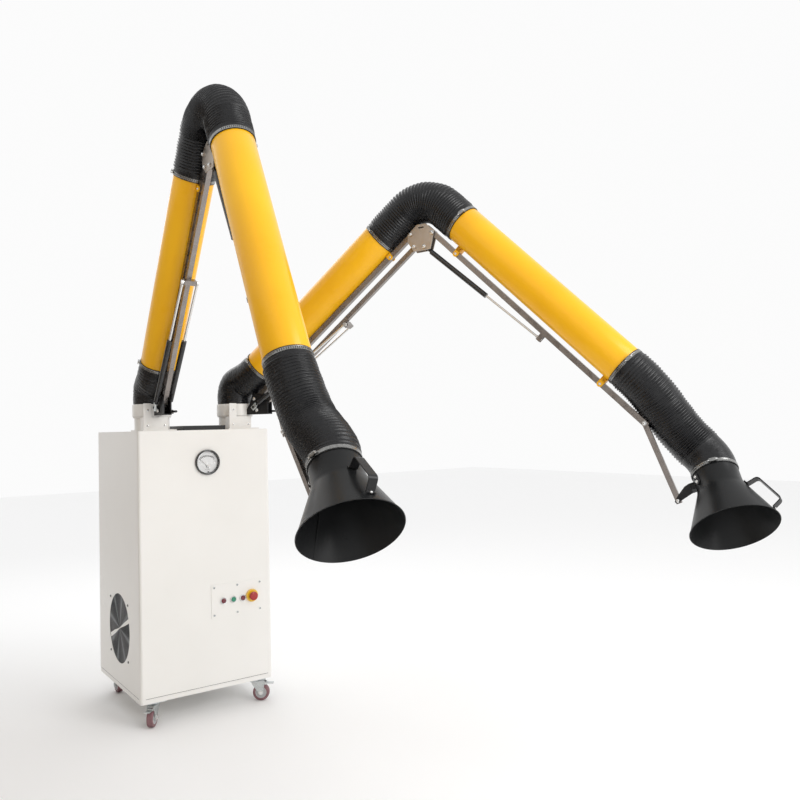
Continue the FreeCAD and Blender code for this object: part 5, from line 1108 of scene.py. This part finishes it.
def buildFork(name):
    # Pressed fork of a swivel caster: deck, two tapered cheeks, pedal ears, axle bolt and nut.
    kingpin, axle, brake = (spotOf(f"{name}_{part}") for part in ("caster_swivel", "wheel_spin", "brake"))
    back = Vector((axle.x - kingpin.x, axle.y - kingpin.y, 0))
    trail, level = back.length, axle.z
    seat = Place((kingpin.x, kingpin.y, 0), back, upward.cross(back))
    behind, ahead, top, thick = fork["behind"], fork["ahead"], fork["top"], fork["thick"]
    wide = fork["inner"] + thick
    deck = [(behind, -wide), (behind, wide)] + circleOutline(fork["round"], 20, (0, 0), 60, 240)
    parts = slab(deck, top - fork["deck"], top, 0.0008)
    outline = ([(behind - 0.001, top - 0.0012), (behind, level + 0.033),
                (trail + fork["lug"] + 0.0005, level + 0.004)]
               + circleOutline(fork["lug"], 12, (trail, level), 0, -180)
               + [(-ahead + 0.006, level + 0.036), (-ahead, top - 0.006), (-ahead + 0.002, top - 0.0012)])
    for low in (fork["inner"], -wide):
        parts = parts + slab(outline, low, low + thick, 0.0005).stood()
    pin = Vector(seat.matrix.inverted() @ brake)
    for low in (fork["earInner"], -fork["earInner"] - fork["ear"]):
        ear = [(behind - 0.006, top - 0.001), (behind - 0.006, pin.z - 0.006), (pin.x, pin.z - 0.0052)]
        ear += circleOutline(0.0052, 8, (pin.x, pin.z), -90, 180) + [(behind, top - 0.001)]
        parts = parts + slab(ear, low, low + fork["ear"], 0.0003).stood()
    piece(f"{name}_fork_body", parts.put(seat), zincSteel, f"{name}_fork", [f"{name}_fork"])
    bolts = rod(0.004, -wide - 0.004, wide + 0.009).put(facing(seat.at(trail, 0, level), seat.y))
    for way in (-1, 1):
        side = seat.at(trail, way * wide, level)
        bolts = bolts + hexHead(0.0130, 0.0062).put(facing(side, seat.y * way))
    stub = rod(0.0025, -0.0150, 0.0150, 20)
    piece(f"{name}_fork_bolts", bolts + stub.put(facing(brake, seat.y)), brightSteel, f"{name}_fork")


nutReach = {"plates": 0.0212, "wrist": 0.0180, "hood": 0.0170}


def buildBolts(side):
    # Bright domed nuts over the pivot pins of the bars.
    across = places[side]["base"].y
    level, shoulder, parallel, elbow, spring, wrist, tilt = (
        spotOf(f"{side}_{name}") for name in ("elbow_level", "shoulder", "parallel_turn", "elbow_bend",
                                              "upper_spring_turn", "wrist_bend", "hood_tilt"))
    rows = {
        "elbow": ((level, level + parallel - shoulder, elbow, spring), nutReach["plates"]),
        "upper_arm": ((wrist,), nutReach["wrist"]),
        "yoke": ((tilt,), nutReach["hood"]),
        "swivel": ((shoulder, parallel), nutReach["plates"]),
    }
    for body, (spots, reach) in rows.items():
        heads = gathered([capHead(0.0068, 0.0062).put(facing(spot + across * way * reach, across * way))
                          for spot in spots for way in (-1, 1)])
        piece(f"{side}_{body}_nuts", heads, brightSteel, f"{side}_{body}")


def buildJointLine():
    # The dark joint between the shell and the floor pan.
    low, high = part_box("cabinet_shell")
    inset, half, out = 0.022, 0.0007, 0.0002
    line = Shape()
    for start, end in (((low.x + inset, low.y - out), (high.x - inset, low.y + 0.001)),
                       ((low.x + inset, high.y - 0.001), (high.x - inset, high.y + out)),
                       ((low.x - out, low.y + inset), (low.x + 0.001, high.y - inset)),
                       ((high.x - 0.001, low.y + inset), (high.x + out, high.y - inset))):
        line = line + brick((*start, low.z - half), (*end, low.z + half), 0.0001)
    piece("shell_joint_line", line, darkPlastic, "cabinet")


for name in ("front_left", "front_right"):
    buildFork(name)
for side in sides:
    buildBolts(side)
buildJointLine()
buildGauge()
buildControls()
buildExhaust()
for name in ("front_left_wheel", "front_right_wheel", "rear_left_wheel", "rear_right_wheel"):
    buildWheel(name)
print("cabinet details done")


def onArms(*names):
    return tuple(f"{side}_{name}" for side in sides for name in names)


# Plain finishes for the nodes that keep their own shape.
nodeFinish = {
    whitePaint: ("chassis", "cabinet_shell", "rear_door", "control_plate", "arm_base_housings"),
    blackPaint: ("parts_tray", *onArms("swivel_bracket", "hood_yoke")),
    zincSteel: ("fan_housing", "fan_impeller", "caster_mounts", "cabinet_hardware", "front_left_pedal",
                "front_right_pedal"),
    motorGrey: ("fan_motor",),
    pleats: ("filter_cartridges",),
    inkBlack: ("gauge_needle",),
    platedSteel: onArms("lower_bar", "parallel_bar", "upper_bar", "wrist_bar"),
    plateBeige: onArms("elbow_plates"),
    springBlack: onArms("lower_spring_cylinders", "upper_spring_cylinder"),
    brightSteel: onArms("lower_spring_rods", "upper_spring_rod"),
}
for finish, names in nodeFinish.items():
    for name in names:
        slots = nodes[name].data.materials
        slots.clear()
        slots.append(finish)
print("node finishes done")
